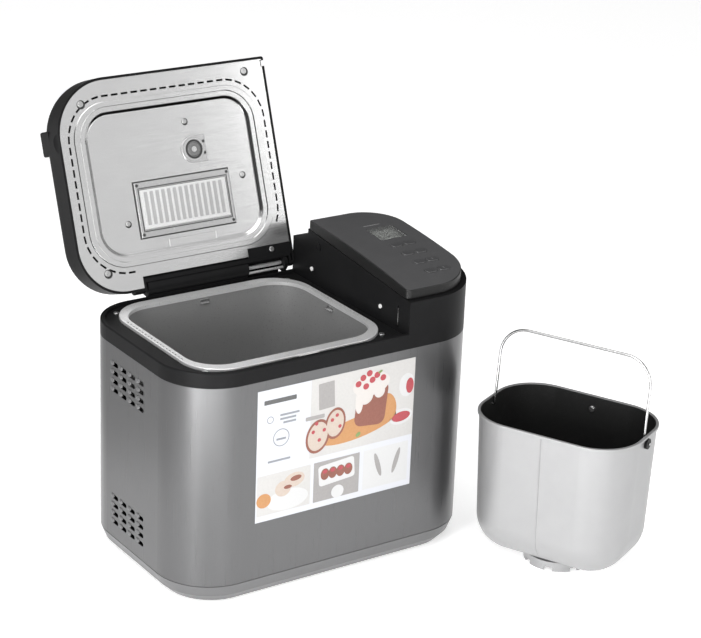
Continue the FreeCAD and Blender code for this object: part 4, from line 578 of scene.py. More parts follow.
def paint_fold_shade_and_highlight(material, face, dark, light):
    """Paints a shade or a highlight over the colour where a sheet turns away from its own face."""
    tree = material.node_tree
    shader = tree.nodes["Principled BSDF"]
    under = shader.inputs["Base Color"].links[0].from_socket
    tone = mixed(tree, facing(tree, PAINTED_SHADE_SIDE, *SIDE_RANGE), light, dark)
    fold = facing(tree, face, *FOLD_RANGE)
    tree.links.new(mixed(tree, fold, under, tone), shader.inputs["Base Color"])


# Painted shade and painted highlight on the folds of the lid's plate and of the panel's film.
paint_fold_shade_and_highlight(plate_steel, LID_FACE, grey(0.02), grey(0.80))
paint_fold_shade_and_highlight(panel_film, PANEL_FACE, grey(0.01), grey(0.02))
dress(plate_steel, "lid_inner_plate")
dress(rim_steel, "chamber_rim")
dress(dispenser_white, "nut_flap")
dress(dispenser_grey, "flap_frame", "yeast_housing")
dress(valve_grey, "yeast_valve")
dress(zinc, "machine_screws", "lid_screws", "chamber_clips", "temperature_sensor")
dress(pin_steel, "hinge_pins", "lid_pins")
dress(zinc, "drive_shaft", "drive_coupling", "pan_coupling", "pan_fittings", "motor_rotor")

# %% [markdown]
# ## Inside the baking chamber
# The chamber is steel with a dark grey non-stick coating: satin, with a soft vertical sheen. The heater's
# sheath is steel that heat has darkened unevenly, so its tones lie further apart.

# %% Chamber finishes
chamber_coating = finish(
    "chamber_coating", grey(0.33), grey(0.40), (0.26, 0.38), scale=700.0, relief=0.05, Metallic=0.55
)
heater_sheath = finish(
    "heater_sheath",
    (0.10, 0.095, 0.09),
    (0.24, 0.22, 0.21),
    (0.35, 0.55),
    scale=300.0,
    relief=0.15,
    Metallic=0.9,
)
dress(chamber_coating, "chamber")
dress(heater_sheath, "heater_element")

# %% [markdown]
# ## The bread pan
# Outside it is pale cast aluminium with a fine matt skin. Inside is black non-stick coating, which is not
# one colour: it carries fine pale flecks. Those flecks are a thresholded noise, mixed over the coating.

# %% Pan finishes
pan_skin = finish(
    "pan_skin",
    (0.30, 0.30, 0.303),
    (0.36, 0.36, 0.363),
    (0.36, 0.48),
    scale=1300.0,
    relief=0.10,
    Metallic=0.5,
)
nonstick = finish("nonstick", grey(0.006), grey(0.014), (0.28, 0.42), scale=1000.0, relief=0.15)
bail_chrome = finish(
    "bail_chrome", grey(0.42), grey(0.55), (0.14, 0.24), scale=900.0, relief=0.03, Metallic=1.0
)
dress(pan_skin, "pan_body", "pan_pedestal")
dress(nonstick, "nonstick_lining", "kneading_blade")
dress(bail_chrome, "pan_bail")
dress(black_moulding, "bail_clips")


def add_flecks(material, colour, scale, threshold):
    """Mixes small pale flecks over a finished material's base colour."""
    tree = material.node_tree
    shader = tree.nodes["Principled BSDF"]
    under = shader.inputs["Base Color"].links[0].from_socket
    position = tree.nodes.new("ShaderNodeTexCoord").outputs["Object"]
    speckle = math_node(tree, "GREATER_THAN", noise(tree, position, scale, 1.0), threshold)
    tree.links.new(mixed(tree, speckle, under, colour), shader.inputs["Base Color"])


add_flecks(nonstick, grey(0.10), 1600.0, 0.72)
add_flecks(chamber_coating, grey(0.16), 1300.0, 0.74)

# %% [markdown]
# ## Pieces that are seldom seen
# The drive, the motor and the boards sit inside, but the vents and the open drawings show them, so each
# gets the finish of the real thing.

# %% Inside finishes
galvanised = finish(
    "galvanised",
    (0.34, 0.35, 0.36),
    (0.52, 0.53, 0.54),
    (0.35, 0.55),
    scale=160.0,
    relief=0.05,
    Metallic=0.9,
)
nylon = finish("nylon", grey(0.05), grey(0.08), (0.5, 0.6), scale=800.0, relief=0.2)
laminate_green = finish(
    "laminate_green", (0.01, 0.07, 0.03), (0.02, 0.12, 0.05), (0.3, 0.4), scale=900.0, relief=0.1
)
bronze = finish(
    "bronze",
    (0.30, 0.19, 0.08),
    (0.42, 0.28, 0.13),
    (0.35, 0.5),
    scale=900.0,
    relief=0.15,
    Metallic=1.0,
)
white_moulding = finish(
    "white_moulding", (0.66, 0.66, 0.65), (0.76, 0.76, 0.75), (0.4, 0.5), scale=900.0, relief=0.1
)
dress(galvanised, "heat_shield", "chassis", "motor_body", "valve_solenoid")
dress(nylon, "large_pulley", "small_pulley")
dress(laminate_green, "power_board", "control_board")
dress(bronze, "shaft_bearing")
light_pipe = finish("light_pipe", grey(0.20), grey(0.28), (0.2, 0.3), scale=900.0, relief=0.05)
dress(white_moulding, "lid_buffers")
dress(light_pipe, "status_light")

# %% [markdown]
# ## The display
# The lens is smoked clear plastic, and the grey display lies under it. Glass-like plastic keeps a plain
# transmission value on the shader; only its roughness and colour vary.

# %% Display finishes
lens_plastic = finish(
    "lens_plastic",
    (0.70, 0.71, 0.70),
    (0.76, 0.77, 0.76),
    (0.04, 0.08),
    scale=300.0,
    relief=0.01,
    Transmission_Weight=0.9,
)
display_grey = finish(
    "display_grey", (0.40, 0.41, 0.39), (0.46, 0.47, 0.45), (0.35, 0.45), scale=900.0, relief=0.03
)
dress(lens_plastic, "display_lens")
dress(display_grey, "lcd_module")
print("materials made:", len(bpy.data.materials))

# %% [markdown]
# ## Making new pieces
# The fine details below are each a small mesh. A bmesh starts from one of Blender's own shapes, an operator
# or two gives it its form, and it is turned into an object that rides on the CAD body it is fixed to.

# %% Helpers for new pieces
def new_piece(name, shape, material, body):
    """Turns a finished bmesh into an object that rides on a body."""
    bmesh.ops.remove_doubles(shape, verts=shape.verts, dist=1e-6)
    bmesh.ops.recalc_face_normals(shape, faces=shape.faces)
    data = bpy.data.meshes.new(name)
    shape.to_mesh(data)
    shape.free()
    data.materials.append(material)
    piece = bpy.data.objects.new(name, data)
    bpy.context.scene.collection.objects.link(piece)
    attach(piece, body)
    return piece


def card(shape, width, height, corner, thickness, matrix):
    """A thin rounded card about its own middle, lying in the XY plane, then placed by matrix."""
    flat = bmesh.ops.create_grid(shape, x_segments=1, y_segments=1, size=0.5)["verts"]
    bmesh.ops.scale(shape, vec=(width, height, 1), verts=flat)
    if corner > 0:
        bmesh.ops.bevel(
            shape, geom=flat, offset=corner, affect="VERTICES", segments=6, profile=0.5, material=-1
        )
    shape.faces.ensure_lookup_table()
    face = shape.faces[-1]
    raised = bmesh.ops.extrude_face_region(shape, geom=[face], use_keep_orig=True)["geom"]
    top = [item for item in raised if isinstance(item, bmesh.types.BMVert)]
    bmesh.ops.translate(shape, vec=(0, 0, thickness), verts=top)
    bmesh.ops.transform(shape, matrix=matrix, verts=list(set(face.verts) | set(top)))


def disc(shape, radius_x, radius_y, thickness, matrix, segments=32):
    """A thin oval disc in the XY plane, then placed by matrix."""
    made = bmesh.ops.create_cone(
        shape, cap_ends=True, segments=segments, radius1=1.0, radius2=1.0, depth=thickness
    )["verts"]
    bmesh.ops.scale(shape, vec=(radius_x, radius_y, 1), verts=made)
    bmesh.ops.translate(shape, vec=(0, 0, thickness / 2), verts=made)
    bmesh.ops.transform(shape, matrix=matrix, verts=made)


# %% [markdown]
# ## The label on the front
# The front carries a printed film with pictures of what the machine bakes. Its pictures here are plain
# shapes of this model's own: a cake on a board with slices and fruit, three small pictures below it, and a
# white column with rings and bars. Each shape is a card or disc a twentieth of a millimetre thick, laid on
# the one below. Shapes of one ink that overlap are lifted by a share of that, so no two faces coincide.

# %% Label inks
label_low, label_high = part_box("front_label")
LABEL_WIDTH = label_high.x - label_low.x
LABEL_HEIGHT = label_high.z - label_low.z
INK = 0.05 * MM
OVERLAY = 0.12


def ink(name, dark, light):
    return finish(name, dark, light, (0.16, 0.26), scale=350.0, relief=0.02)


label_white = ink("label_white", (0.46, 0.47, 0.50), (0.50, 0.51, 0.54))
inks = {
    "cloth": ink("ink_cloth", (0.36, 0.35, 0.34), (0.48, 0.47, 0.46)),
    "shade": ink("ink_shade", (0.20, 0.19, 0.19), (0.30, 0.29, 0.28)),
    "wood": ink("ink_wood", (0.30, 0.13, 0.04), (0.46, 0.24, 0.10)),
    "crust": ink("ink_crust", (0.11, 0.03, 0.02), (0.26, 0.10, 0.07)),
    "crumb": ink("ink_crumb", (0.34, 0.27, 0.22), (0.48, 0.42, 0.37)),
    "cream": ink("ink_cream", (0.44, 0.41, 0.39), (0.52, 0.50, 0.48)),
    "berry": ink("ink_berry", (0.24, 0.02, 0.03), (0.38, 0.07, 0.08)),
    "leaf": ink("ink_leaf", (0.10, 0.16, 0.05), (0.20, 0.28, 0.10)),
    "dark": ink("ink_dark", grey(0.05), grey(0.10)),
    "grey": ink("ink_grey", (0.16, 0.17, 0.19), (0.24, 0.25, 0.27)),
    "plate": ink("ink_plate", grey(0.44), grey(0.50)),
}
dress(label_white, "front_label")


def on_label(across, up, layer, turn=0.0):
    """A matrix that lays a card on the label, given the place as a share of its width and height."""
    x = label_low.x + across * LABEL_WIDTH
    z = label_low.z + up * LABEL_HEIGHT
    place = Matrix.Translation((x, label_low.y - layer * INK, z))
    return place @ Matrix.Rotation(math.pi / 2, 4, "X") @ Matrix.Rotation(turn, 4, "Z")


def label_cards(name, ink_name, layer, cards, corner=1.0):
    """Rounded cards of one ink; each is (across, up, width, height, turn) in shares of the label."""
    shape = bmesh.new()
    for index, (across, up, width, height, turn) in enumerate(cards):
        size = (width * LABEL_WIDTH, height * LABEL_HEIGHT)
        place = on_label(across, up, layer + index * OVERLAY, turn)
        card(shape, *size, min(corner * MM, min(size) * 0.45), INK, place)
    return new_piece(name, shape, inks[ink_name], "machine")


def label_discs(name, ink_name, layer, discs):
    """Oval discs of one ink, given as label_cards gives its cards."""
    shape = bmesh.new()
    for index, (across, up, width, height, turn) in enumerate(discs):
        place = on_label(across, up, layer + index * OVERLAY, turn)
        disc(shape, width * LABEL_WIDTH / 2, height * LABEL_HEIGHT / 2, INK, place)
    return new_piece(name, shape, inks[ink_name], "machine")


# %% The cake on its board
label_cards("label_cloth", "cloth", 0, [(0.665, 0.70, 0.67, 0.60, 0)], corner=0.5)
label_cards("label_cloth_shade", "shade", 1, [(0.43, 0.86, 0.10, 0.20, 0.05), (0.36, 0.71, 0.12, 0.03, 0)])
label_discs("label_board", "wood", 1, [(0.64, 0.555, 0.50, 0.17, 0.14), (0.83, 0.66, 0.11, 0.22, 0.2)])
label_discs("label_plate", "plate", 1, [(0.92, 0.56, 0.15, 0.12, 0.1), (0.95, 0.80, 0.10, 0.18, 0)])
label_cards("label_loaf", "crust", 2, [(0.72, 0.715, 0.20, 0.33, -0.10)], corner=10)
label_discs("label_top", "cream", 3, [(0.715, 0.87, 0.24, 0.18, 0.03), (0.68, 0.79, 0.10, 0.14, 0)])
label_discs("label_icing", "cream", 3.5, [(0.64, 0.75, 0.05, 0.18, 0), (0.77, 0.80, 0.07, 0.10, 0)])

# %% Slices, fruit and leaves
SLICES = ((0.38, 0.56, 0.15, 0.26, -0.25), (0.49, 0.63, 0.13, 0.24, -0.15))
label_discs("label_slice_crusts", "crust", 3, SLICES)
label_discs("label_slices", "crumb", 4, [(x, z, w * 0.82, h * 0.84, turn) for x, z, w, h, turn in SLICES])
BERRIES = ((0.66, 0.93), (0.70, 0.955), (0.75, 0.93), (0.79, 0.90), (0.63, 0.89), (0.72, 0.90), (0.68, 0.86))
label_discs("label_berries", "berry", 5, [(x, z, 0.038, 0.048, 0) for x, z in BERRIES])
SEEDS = ((0.35, 0.60), (0.39, 0.53), (0.42, 0.60), (0.47, 0.66), (0.52, 0.60), (0.50, 0.69), (0.37, 0.66))
label_discs("label_seeds", "berry", 6, [(x, z, 0.022, 0.028, 0.4) for x, z in SEEDS])
label_discs("label_jam", "berry", 3, [(0.92, 0.56, 0.12, 0.075, 0.1), (0.97, 0.79, 0.05, 0.12, 0)])
label_discs("label_leaves", "leaf", 7, [(0.64, 0.50, 0.035, 0.03, 0.6), (0.77, 0.95, 0.03, 0.02, 0.4)])

# %% The three small pictures
PICTURE_UP = 0.20
PICTURE_TALL = 0.31
ROLLS = [0.435 + 0.05 * step for step in range(4)]
PICTURES = (("left", "cloth", 0.175, 0.335), ("mid", "shade", 0.51, 0.295), ("right", "plate", 0.83, 0.295))
for name, ink_name, across, wide in PICTURES:
    place = (across, PICTURE_UP, wide, PICTURE_TALL, 0)
    label_cards(f"label_small_{name}", ink_name, 0, [place], corner=0.5)
label_discs("label_small_boards", "plate", 1, [(0.20, 0.13, 0.26, 0.16, 0), (0.52, 0.09, 0.08, 0.10, 0)])
label_cards("label_tray", "plate", 1, [(0.51, 0.25, 0.23, 0.16, 0.08)], corner=4)
label_discs("label_tray_bread", "crust", 2, [(across, 0.25, 0.055, 0.09, 0) for across in ROLLS])
label_discs("label_tray_seeds", "berry", 3, [(across, 0.27, 0.03, 0.03, 0) for across in ROLLS])
label_discs("label_small_bread", "crumb", 2, [(0.24, 0.27, 0.13, 0.11, 0.1), (0.17, 0.22, 0.10, 0.12, 0)])
label_discs("label_small_crust", "crust", 3, [(0.25, 0.28, 0.07, 0.04, 0.1), (0.20, 0.225, 0.05, 0.03, 0)])
label_discs("label_bun", "wood", 2, [(0.05, 0.16, 0.09, 0.11, 0)])
label_discs("label_twists", "shade", 1, [(0.78, 0.22, 0.03, 0.20, 0.3), (0.90, 0.22, 0.03, 0.20, -0.3)])

# %% [markdown]
# ## The label's white column
# A short heading and two captions are shown as plain bars, and two small rings stand in for symbols, so the
# film reads as printed without any lettering.

# %% Bars and rings
def label_ring(shape, across, up, radius, thickness):
    """A printed ring: a circle's edge grown inwards."""
    outline = bmesh.ops.create_circle(shape, cap_ends=False, segments=40, radius=radius)["verts"]
    edges = list({edge for vert in outline for edge in vert.link_edges})
    grown = bmesh.ops.extrude_edge_only(shape, edges=edges)["geom"]
    inner = [item for item in grown if isinstance(item, bmesh.types.BMVert)]
    share = 1 - thickness / radius
    bmesh.ops.scale(shape, vec=(share, share, 1), verts=inner)
    bmesh.ops.transform(shape, matrix=on_label(across, up, 1), verts=outline + inner)


CAPTIONS = (
    (0.20, 0.79, 0.12),
    (0.19, 0.76, 0.10),
    (0.20, 0.73, 0.08),
    (0.15, 0.61, 0.06),
    (0.14, 0.45, 0.14),
)
label_cards("label_heading", "dark", 0, [(0.14, 0.905, 0.20, 0.034, 0)], corner=1)
label_cards("label_captions", "grey", 0, [(x, z, width, 0.016, 0) for x, z, width in CAPTIONS], corner=0.5)
rings = bmesh.new()
label_ring(rings, 0.08, 0.77, 4.5 * MM, 1.0 * MM)
label_ring(rings, 0.15, 0.62, 11.0 * MM, 1.2 * MM)
new_piece("label_rings", rings, inks["grey"], "machine")

# %% [markdown]
# ## Marks on the buttons
# Each button has a raised mark that a finger can feel. They are plain bars, less than a millimetre wide and
# very low, so that some buttons differ from the rest. They ride on their own button, so they go down with
# it.

# %% Button marks
PANEL_SLOPE = math.radians(6.05)
MARK_WIDTH = 0.7 * MM
MARK_THICKNESS = 0.12 * MM
CROSSED = (2, 4)
DOUBLED = (1, 7)
mark_film = finish("mark_film", grey(0.20), grey(0.26), (0.4, 0.5), scale=900.0, relief=0.05)


def on_button(name, lift=0.0, shift_x=0.0, shift_v=0.0):
    """A matrix that lays a shape on a button's sloping top face."""
    low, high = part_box(name)
    half = (high.y - low.y) / 2
    top = Vector(((low.x + high.x) / 2, (low.y + high.y) / 2, high.z - half * math.tan(PANEL_SLOPE) * 0.8))
    tilt = Matrix.Rotation(PANEL_SLOPE, 4, "X")
    return Matrix.Translation(top) @ tilt @ Matrix.Translation((shift_x, shift_v, lift))


def bar(shape, matrix, width, height):
    """A rounded bar of the marks' thickness."""
    card(shape, width, height, min(width, height) * 0.3, MARK_THICKNESS, matrix)


def button_mark(index):
    """A bar on every button; two of them get a cross bar, and two a shorter second one."""
    name = f"button_{index}"
    shape = bmesh.new()
    bar(shape, on_button(name), 5.0 * MM, MARK_WIDTH)
    if index in CROSSED:
        bar(shape, on_button(name, lift=0.01 * MM), MARK_WIDTH, 4.0 * MM)
    if index in DOUBLED:
        bar(shape, on_button(name, shift_v=1.6 * MM), 3.4 * MM, MARK_WIDTH)
    new_piece(f"mark_{index}", shape, mark_film, name)


for index in range(1, 9):
    button_mark(index)

# %% [markdown]
# ## Details of the dispenser
# The lid is modelled closed and then swung open, so a piece for its inside is placed the same way: first on
# the closed lid, then turned about the hinge. The gap around the nut flap's frame and the line inside it get
# painted shade, each corner of the frame a dark rivet, and the grooves between the flap's ribs painted
# shade.

# %% A place on the lid's inside
LID_TURN = math.radians(-109.65)
HINGE = spot(0, 128.3, 304.3)
PLATE_Z = 295.0
RECESS_Z = 298.0


def on_lid(x, v, z, turn=0.0):
    """Lays a card on the lid's inside: v is the distance from the hinge, z the height when closed."""
    swing = Matrix.Translation(HINGE) @ Matrix.Rotation(LID_TURN, 4, "X")
    local = Matrix.Translation((x * MM, -v * MM, z * MM - HINGE.z))
    return swing @ local @ Matrix.Rotation(math.pi, 4, "X") @ Matrix.Rotation(turn, 4, "Z")


# A near-black for the rivets and for painted shade, and a grey for the lip and for painted shade in grooves
# and along edges.
black_and_painted_shade = finish("black_and_painted_shade", grey(0.010), grey(0.020), (0.4, 0.6), scale=900.0, relief=0.1)
grey_and_painted_shade = finish("grey_and_painted_shade", grey(0.26), grey(0.34), (0.3, 0.4), scale=900.0, relief=0.05)

# %% Painted shade around the frame, rivets and painted shade in the grooves
FRAME_X = (-115.0, 15.0)
FRAME_V = (59.0, 125.0)
FRAME_FACE = RECESS_Z - 2.6
GAP_OUT = 0.8
INNER_X = (-111.0, 11.0)
INNER_V = (66.2, 117.8)
RIVET_IN = (3.0, 3.4)
FLAP_RIBS = 15
FLAP_LEFT = -109.8
FLAP_WIDTH = 119.6
FLAP_EDGE = 0.5
FLAP_MIDDLE_V = 92.9


def rectangle_lines(name, span_x, span_v, size, width, thickness, level):
    """Four thin bars of painted shade around a rectangle on the lid; size gives their lengths along x and v.
    """
    shape = bmesh.new()
    for v in span_v:
        card(shape, size[0] * MM, width * MM, 0, thickness * MM, on_lid(sum(span_x) / 2, v, level))
    for x in span_x:
        card(shape, width * MM, size[1] * MM, 0, thickness * MM, on_lid(x, sum(span_v) / 2, level))
    new_piece(name, shape, black_and_painted_shade, "lid")


gap_x = (FRAME_X[0] - GAP_OUT, FRAME_X[1] + GAP_OUT)
gap_v = (FRAME_V[0] - GAP_OUT, FRAME_V[1] + GAP_OUT)
# Painted shade in the gap around the frame.
rectangle_lines("frame_gap_painted_shade", gap_x, gap_v, (133, 66), 1.5, 0.3, RECESS_Z)
rivets = bmesh.new()
for x in (FRAME_X[0] + RIVET_IN[0], FRAME_X[1] - RIVET_IN[0]):
    for v in (FRAME_V[0] + RIVET_IN[1], FRAME_V[1] - RIVET_IN[1]):
        disc(rivets, 1.9 * MM, 1.9 * MM, 0.2 * MM, on_lid(x, v, FRAME_FACE))
new_piece("frame_rivets", rivets, black_and_painted_shade, "lid")
# Painted shade: dark lines between the frame and the flap.
rectangle_lines("frame_inner_painted_shade", INNER_X, INNER_V, (120, 52.8), 1.2, 0.15, FRAME_FACE)
rib_pitch = (FLAP_WIDTH - 2 * FLAP_EDGE) / FLAP_RIBS
# Painted shade in the grooves between the flap's ribs.
grooves = bmesh.new()
for index in range(1, FLAP_RIBS):
    x = FLAP_LEFT + FLAP_EDGE + rib_pitch * index
    card(grooves, 4.6 * MM, 40.0 * MM, 1.0 * MM, 0.2 * MM, on_lid(x, FLAP_MIDDLE_V, RECESS_Z - 1.6))
new_piece("flap_groove_painted_shade", grooves, grey_and_painted_shade, "flap")

# %% [markdown]
# ## The yeast outlet
# The outlet is a stepped ring around the valve: a bright lip, a ring of painted shadow, then the valve with
# a small bright button in its middle. Two discs of painted shade stand for the holes beside it that take the
# housing's pins. The lip and the shadow are flat rings.

# %% Rings of the yeast outlet
VALVE_X = -27.0
VALVE_V = 154.5


def flat_ring(shape, outer, inner, thickness, matrix):
    """A flat ring with a small thickness: a circle's edge grown inwards, then extruded."""
    rim = bmesh.ops.create_circle(shape, cap_ends=False, segments=48, radius=outer)["verts"]
    edges = list({edge for vert in rim for edge in vert.link_edges})
    grown = bmesh.ops.extrude_edge_only(shape, edges=edges)["geom"]
    inside = [item for item in grown if isinstance(item, bmesh.types.BMVert)]
    bmesh.ops.scale(shape, vec=(inner / outer, inner / outer, 1), verts=inside)
    faces = [item for item in grown if isinstance(item, bmesh.types.BMFace)]
    raised = bmesh.ops.extrude_face_region(shape, geom=faces, use_keep_orig=True)["geom"]
    top = [item for item in raised if isinstance(item, bmesh.types.BMVert)]
    bmesh.ops.translate(shape, vec=(0, 0, thickness), verts=top)
    bmesh.ops.transform(shape, matrix=matrix, verts=rim + inside + top)


PIN_HOLES = ((14.4, 8.0), (14.4, -6.0))
housing_face = RECESS_Z - 2.0
lip = bmesh.new()
flat_ring(lip, 13.8 * MM, 11.8 * MM, 0.9 * MM, on_lid(VALVE_X, VALVE_V, housing_face))
new_piece("yeast_lip", lip, grey_and_painted_shade, "lid")
# Painted shadow: a dark ring between the lip and the valve, and dark discs where the pin holes are.
shadow = bmesh.new()
flat_ring(shadow, 11.6 * MM, 9.2 * MM, 0.3 * MM, on_lid(VALVE_X, VALVE_V, housing_face))
for across, away in PIN_HOLES:
    disc(shadow, 1.8 * MM, 1.8 * MM, 0.3 * MM, on_lid(VALVE_X + across, VALVE_V + away, housing_face))
new_piece("yeast_shadow", shadow, black_and_painted_shade, "lid")
knob = bmesh.new()
disc(knob, 3.4 * MM, 3.4 * MM, 0.5 * MM, on_lid(VALVE_X, VALVE_V, RECESS_Z - 2.6))
new_piece("valve_button", knob, zinc, "valve")

# %% [markdown]
# ## Painted screw shadows and the pressed stamp
# Each screw has a small dark disc of painted shadow under it, set a little off its middle as a shadow is.
# Below the frame a rectangle is pressed into the sheet; its two ends get painted highlights and its top and
# bottom edges painted shade.

# %% Painted screw shadows, stamp highlights and stamp shade
PLATE_SCREWS = ((-168.5, 226.5), (57.6, 239.5), (-168.5, 25.0))
RECESS_SCREWS = ((-33.5, 189.3), (34.7, 115.1), (-130.2, 78.5))
STAMP_X = (-79.0, -14.0)
STAMP_V = (37.4, 52.6)
STAMP_FACE = RECESS_Z - 0.4
# Painted shadows: a dark disc under each screw, set a little off its middle.
screw_shadow_discs = bmesh.new()
for x, v in PLATE_SCREWS:
    disc(screw_shadow_discs, 5.4 * MM, 5.4 * MM, 0.15 * MM, on_lid(x + 1.0, v - 0.8, PLATE_Z))
for x, v in RECESS_SCREWS:
    disc(screw_shadow_discs, 4.2 * MM, 4.2 * MM, 0.15 * MM, on_lid(x + 0.8, v - 0.7, RECESS_Z))
new_piece("painted_screw_shadows", screw_shadow_discs, black_and_painted_shade, "lid")
# Painted highlights: white cards at the two ends of the pressed stamp.
stamp = bmesh.new()
for x in STAMP_X:
    card(stamp, 1.6 * MM, 15.0 * MM, 0.6 * MM, 0.12 * MM, on_lid(x, sum(STAMP_V) / 2, STAMP_FACE))
new_piece("stamp_painted_highlights", stamp, dispenser_white, "lid")
# Painted shade: grey lines along the stamp's top and bottom edges.
stamp_painted_edge_shade = bmesh.new()
for v in STAMP_V:
    card(stamp_painted_edge_shade, 64.0 * MM, 0.8 * MM, 0.3 * MM, 0.10 * MM, on_lid(sum(STAMP_X) / 2, v, STAMP_FACE))
new_piece("stamp_painted_edge_shade", stamp_painted_edge_shade, grey_and_painted_shade, "lid")

# %% [markdown]
# ## The pressed slope and the hinge leaf
# A press cannot make a square step in sheet metal: the edge of the recess rolls down in a soft slope, and
# this slope is what catches the light and dark bands. A rounded face is inset again and again, each time a
# little deeper, and its middle is then taken away. The hinge leaf is a plain black strip behind the pins.

# %% Slope and leaf
RECESS_MIDDLE = (-57.0, 127.0)
RECESS_SIZE = (225.8, 173.8)
RECESS_CORNER = 34.0
SLOPE_STEPS = ((0.8, 0.3), (1.0, 0.8), (1.2, 1.0), (1.0, 0.6), (0.8, 0.25))
LEAF_SIZE = (50.0, 23.0, 0.8)
slope = bmesh.new()
flat = bmesh.ops.create_grid(slope, x_segments=1, y_segments=1, size=0.5)["verts"]
bmesh.ops.scale(slope, vec=(RECESS_SIZE[0] * MM, RECESS_SIZE[1] * MM, 1), verts=flat)
bmesh.ops.bevel(
    slope, geom=flat, offset=RECESS_CORNER * MM, affect="VERTICES", segments=16, profile=0.5, material=-1
)
slope.faces.ensure_lookup_table()
floor_face = slope.faces[-1]
for inset, depth in SLOPE_STEPS:
    bmesh.ops.inset_region(
        slope,
        faces=[floor_face],
        thickness=inset * MM,
        depth=-depth * MM,
        use_boundary=True,
        use_even_offset=True,
    )
bmesh.ops.delete(slope, geom=[floor_face], context="FACES_ONLY")
for face in slope.faces:
    face.smooth = True
bmesh.ops.transform(slope, matrix=on_lid(*RECESS_MIDDLE, PLATE_Z), verts=slope.verts)
new_piece("recess_slope", slope, plate_steel, "lid")
strip = bmesh.new()
strip_place = Matrix.Translation(spot(47.5, 132.0, 300.0)) @ Matrix.Rotation(math.pi / 2, 4, "X")
card(strip, LEAF_SIZE[0] * MM, LEAF_SIZE[1] * MM, 0, LEAF_SIZE[2] * MM, strip_place)
new_piece("hinge_leaf", strip, black_moulding, "machine")

# %% [markdown]
# ## Hoods of the vents
# The vents are louvres: the sheet is cut and pushed out at one end of each slot, which leaves a small
# smooth hood that catches the light. A flattened ball half sunk in the wall gives that shape.

# %% Vent hoods
VENT_HEIGHTS = (66.0, 236.3)
VENT_GRID = 4
VENT_MIDDLE_Y = 13.0
VENT_PITCH_Y = 20.4
VENT_PITCH_Z = 10.8
HOOD_SHIFT = (6.2, 1.0)
HOOD_RADII = (1.5 * MM, 4.2 * MM, 3.0 * MM)
hoods = bmesh.new()
wall_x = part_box("body_shell")[0].x
first = (1 - VENT_GRID) / 2
for height in VENT_HEIGHTS:
    for column in range(VENT_GRID):
        for row in range(VENT_GRID):
            y = VENT_MIDDLE_Y + (column + first) * VENT_PITCH_Y + HOOD_SHIFT[0]
            z = height + (row + first) * VENT_PITCH_Z + HOOD_SHIFT[1]
            place = Matrix.Translation((wall_x, spot(0, y, 0).y, z * MM))
            ball = bmesh.ops.create_uvsphere(hoods, u_segments=20, v_segments=12, radius=1.0)["verts"]
            bmesh.ops.scale(hoods, vec=HOOD_RADII, verts=ball)
            bmesh.ops.transform(hoods, matrix=place, verts=ball)
new_piece("vent_hoods", hoods, base_grey, "machine")

# %% [markdown]
# ## The display's two fields
# The rear field of the display is darker than the front one, as on a display that is switched off.

# %% Display fields
lcd_low, lcd_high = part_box("lcd_module")
lcd_size = lcd_high - lcd_low
lcd_centre = (lcd_low + lcd_high) / 2
half_slope = lcd_size.y / 2 * math.tan(PANEL_SLOPE)


def on_display(shift_x, shift_v, lift):
    """A matrix that lays a card on the display's sloping face."""
    place = Vector((lcd_centre.x, lcd_centre.y, lcd_high.z - half_slope))
    tilt = Matrix.Rotation(PANEL_SLOPE, 4, "X")
    return Matrix.Translation(place) @ tilt @ Matrix.Translation((shift_x, shift_v, lift))


field = bmesh.new()
field_place = on_display(0, lcd_size.y * 0.24, 0.02 * MM)
card(field, lcd_size.x * 0.9, lcd_size.y * 0.40, 0.5 * MM, 0.05 * MM, field_place)
field_grey = finish("field_grey", grey(0.13), grey(0.17), (0.35, 0.45), scale=900.0, relief=0.03)
new_piece("display_field", field, field_grey, "machine")

# %% [markdown]
# ## The pressed seam on the pan
# The pan's side wall is pressed in two halves, and a fine upright ridge is left in the middle of each long
# side. It follows the wall: straight and slightly tapered, then round into the floor. A small eight-sided
# face is extruded step by step along that path.

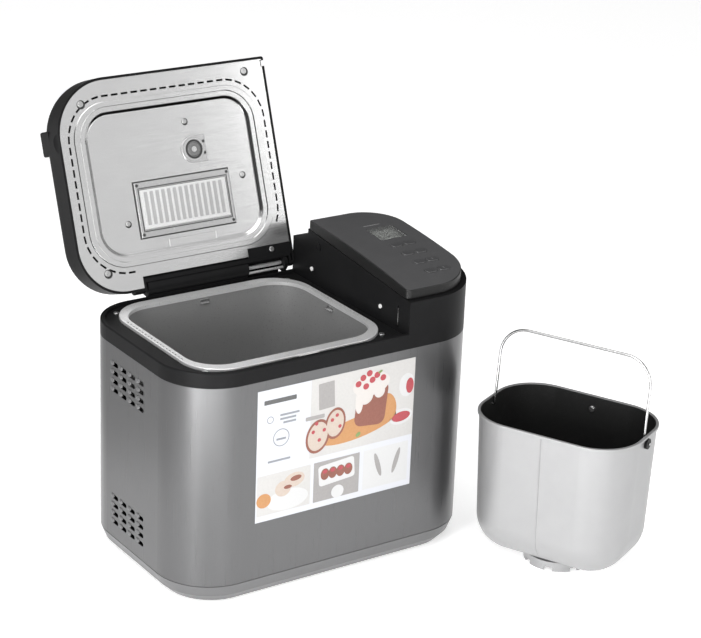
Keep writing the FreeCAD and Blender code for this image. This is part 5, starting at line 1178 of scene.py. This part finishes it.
# %% Pan seam
PAN_TURN = math.radians(-64.5)
PAN_HEIGHT = 188.4
PAN_FOOT = 12.0
PAN_HALF_WIDTH = 74.8 - 1.8
PAN_TAPER = 5.9
PAN_FILLET = 42.0
SEAM_RADIUS = 0.8
SEAM_HEIGHTS = (184.0, 150.0, 110.0, 70.0, 54.0, 44.0, 35.0, 28.0)
pan_place = Matrix.Translation((pan_middle.x, pan_middle.y, 0)) @ Matrix.Rotation(PAN_TURN, 4, "Z")


def wall_distance(z):
    """How far the outside of the long wall stands from the pan's middle, in millimetres, at a height."""
    taper = PAN_TAPER * (PAN_HEIGHT - z) / (PAN_HEIGHT - PAN_FOOT)
    rise = min(z - PAN_FOOT, PAN_FILLET)
    angle = math.acos(1 - rise / PAN_FILLET)
    return PAN_HALF_WIDTH - taper - PAN_FILLET * (1 - math.sin(angle))


def seam_point(side, z):
    """A point of the seam from the pan's own middle, in metres."""
    return Vector((0, side * wall_distance(z) * MM, z * MM))


def pan_seam(side):
    """A small flat face at the top of the wall, extruded down along it."""
    shape = bmesh.new()
    top = bmesh.ops.create_circle(shape, cap_ends=True, segments=8, radius=SEAM_RADIUS * MM)["verts"]
    bmesh.ops.translate(shape, vec=seam_point(side, SEAM_HEIGHTS[0]), verts=top)
    shape.faces.ensure_lookup_table()
    face = shape.faces[0]
    for above, below in zip(SEAM_HEIGHTS, SEAM_HEIGHTS[1:]):
        grown = bmesh.ops.extrude_face_region(shape, geom=[face])["geom"]
        face = [item for item in grown if isinstance(item, bmesh.types.BMFace)][0]
        step = seam_point(side, below) - seam_point(side, above)
        bmesh.ops.translate(shape, vec=step, verts=face.verts)
    bmesh.ops.transform(shape, matrix=pan_place, verts=shape.verts)
    return shape


for side, label in ((-1, "near"), (1, "far")):
    new_piece(f"pan_seam_{label}", pan_seam(side), pan_skin, "pan")

# %% [markdown]
# ## The leaf in the tower's slot
# A thin bright leaf spring stands in the slot beside the lid's corner, where the lid's lug presses it.

# %% Leaf spring
LEAF_PLACE = (90.6, -102.2, 308.0)
leaf = bmesh.new()
upright = Matrix.Rotation(-math.pi / 2, 4, "Y") @ Matrix.Rotation(math.pi / 2, 4, "Z")
leaf_matrix = Matrix.Translation(spot(*LEAF_PLACE)) @ upright
card(leaf, 1.2 * MM, 22.0 * MM, 0.4 * MM, 0.5 * MM, leaf_matrix)
new_piece("slot_leaf", leaf, zinc, "machine")
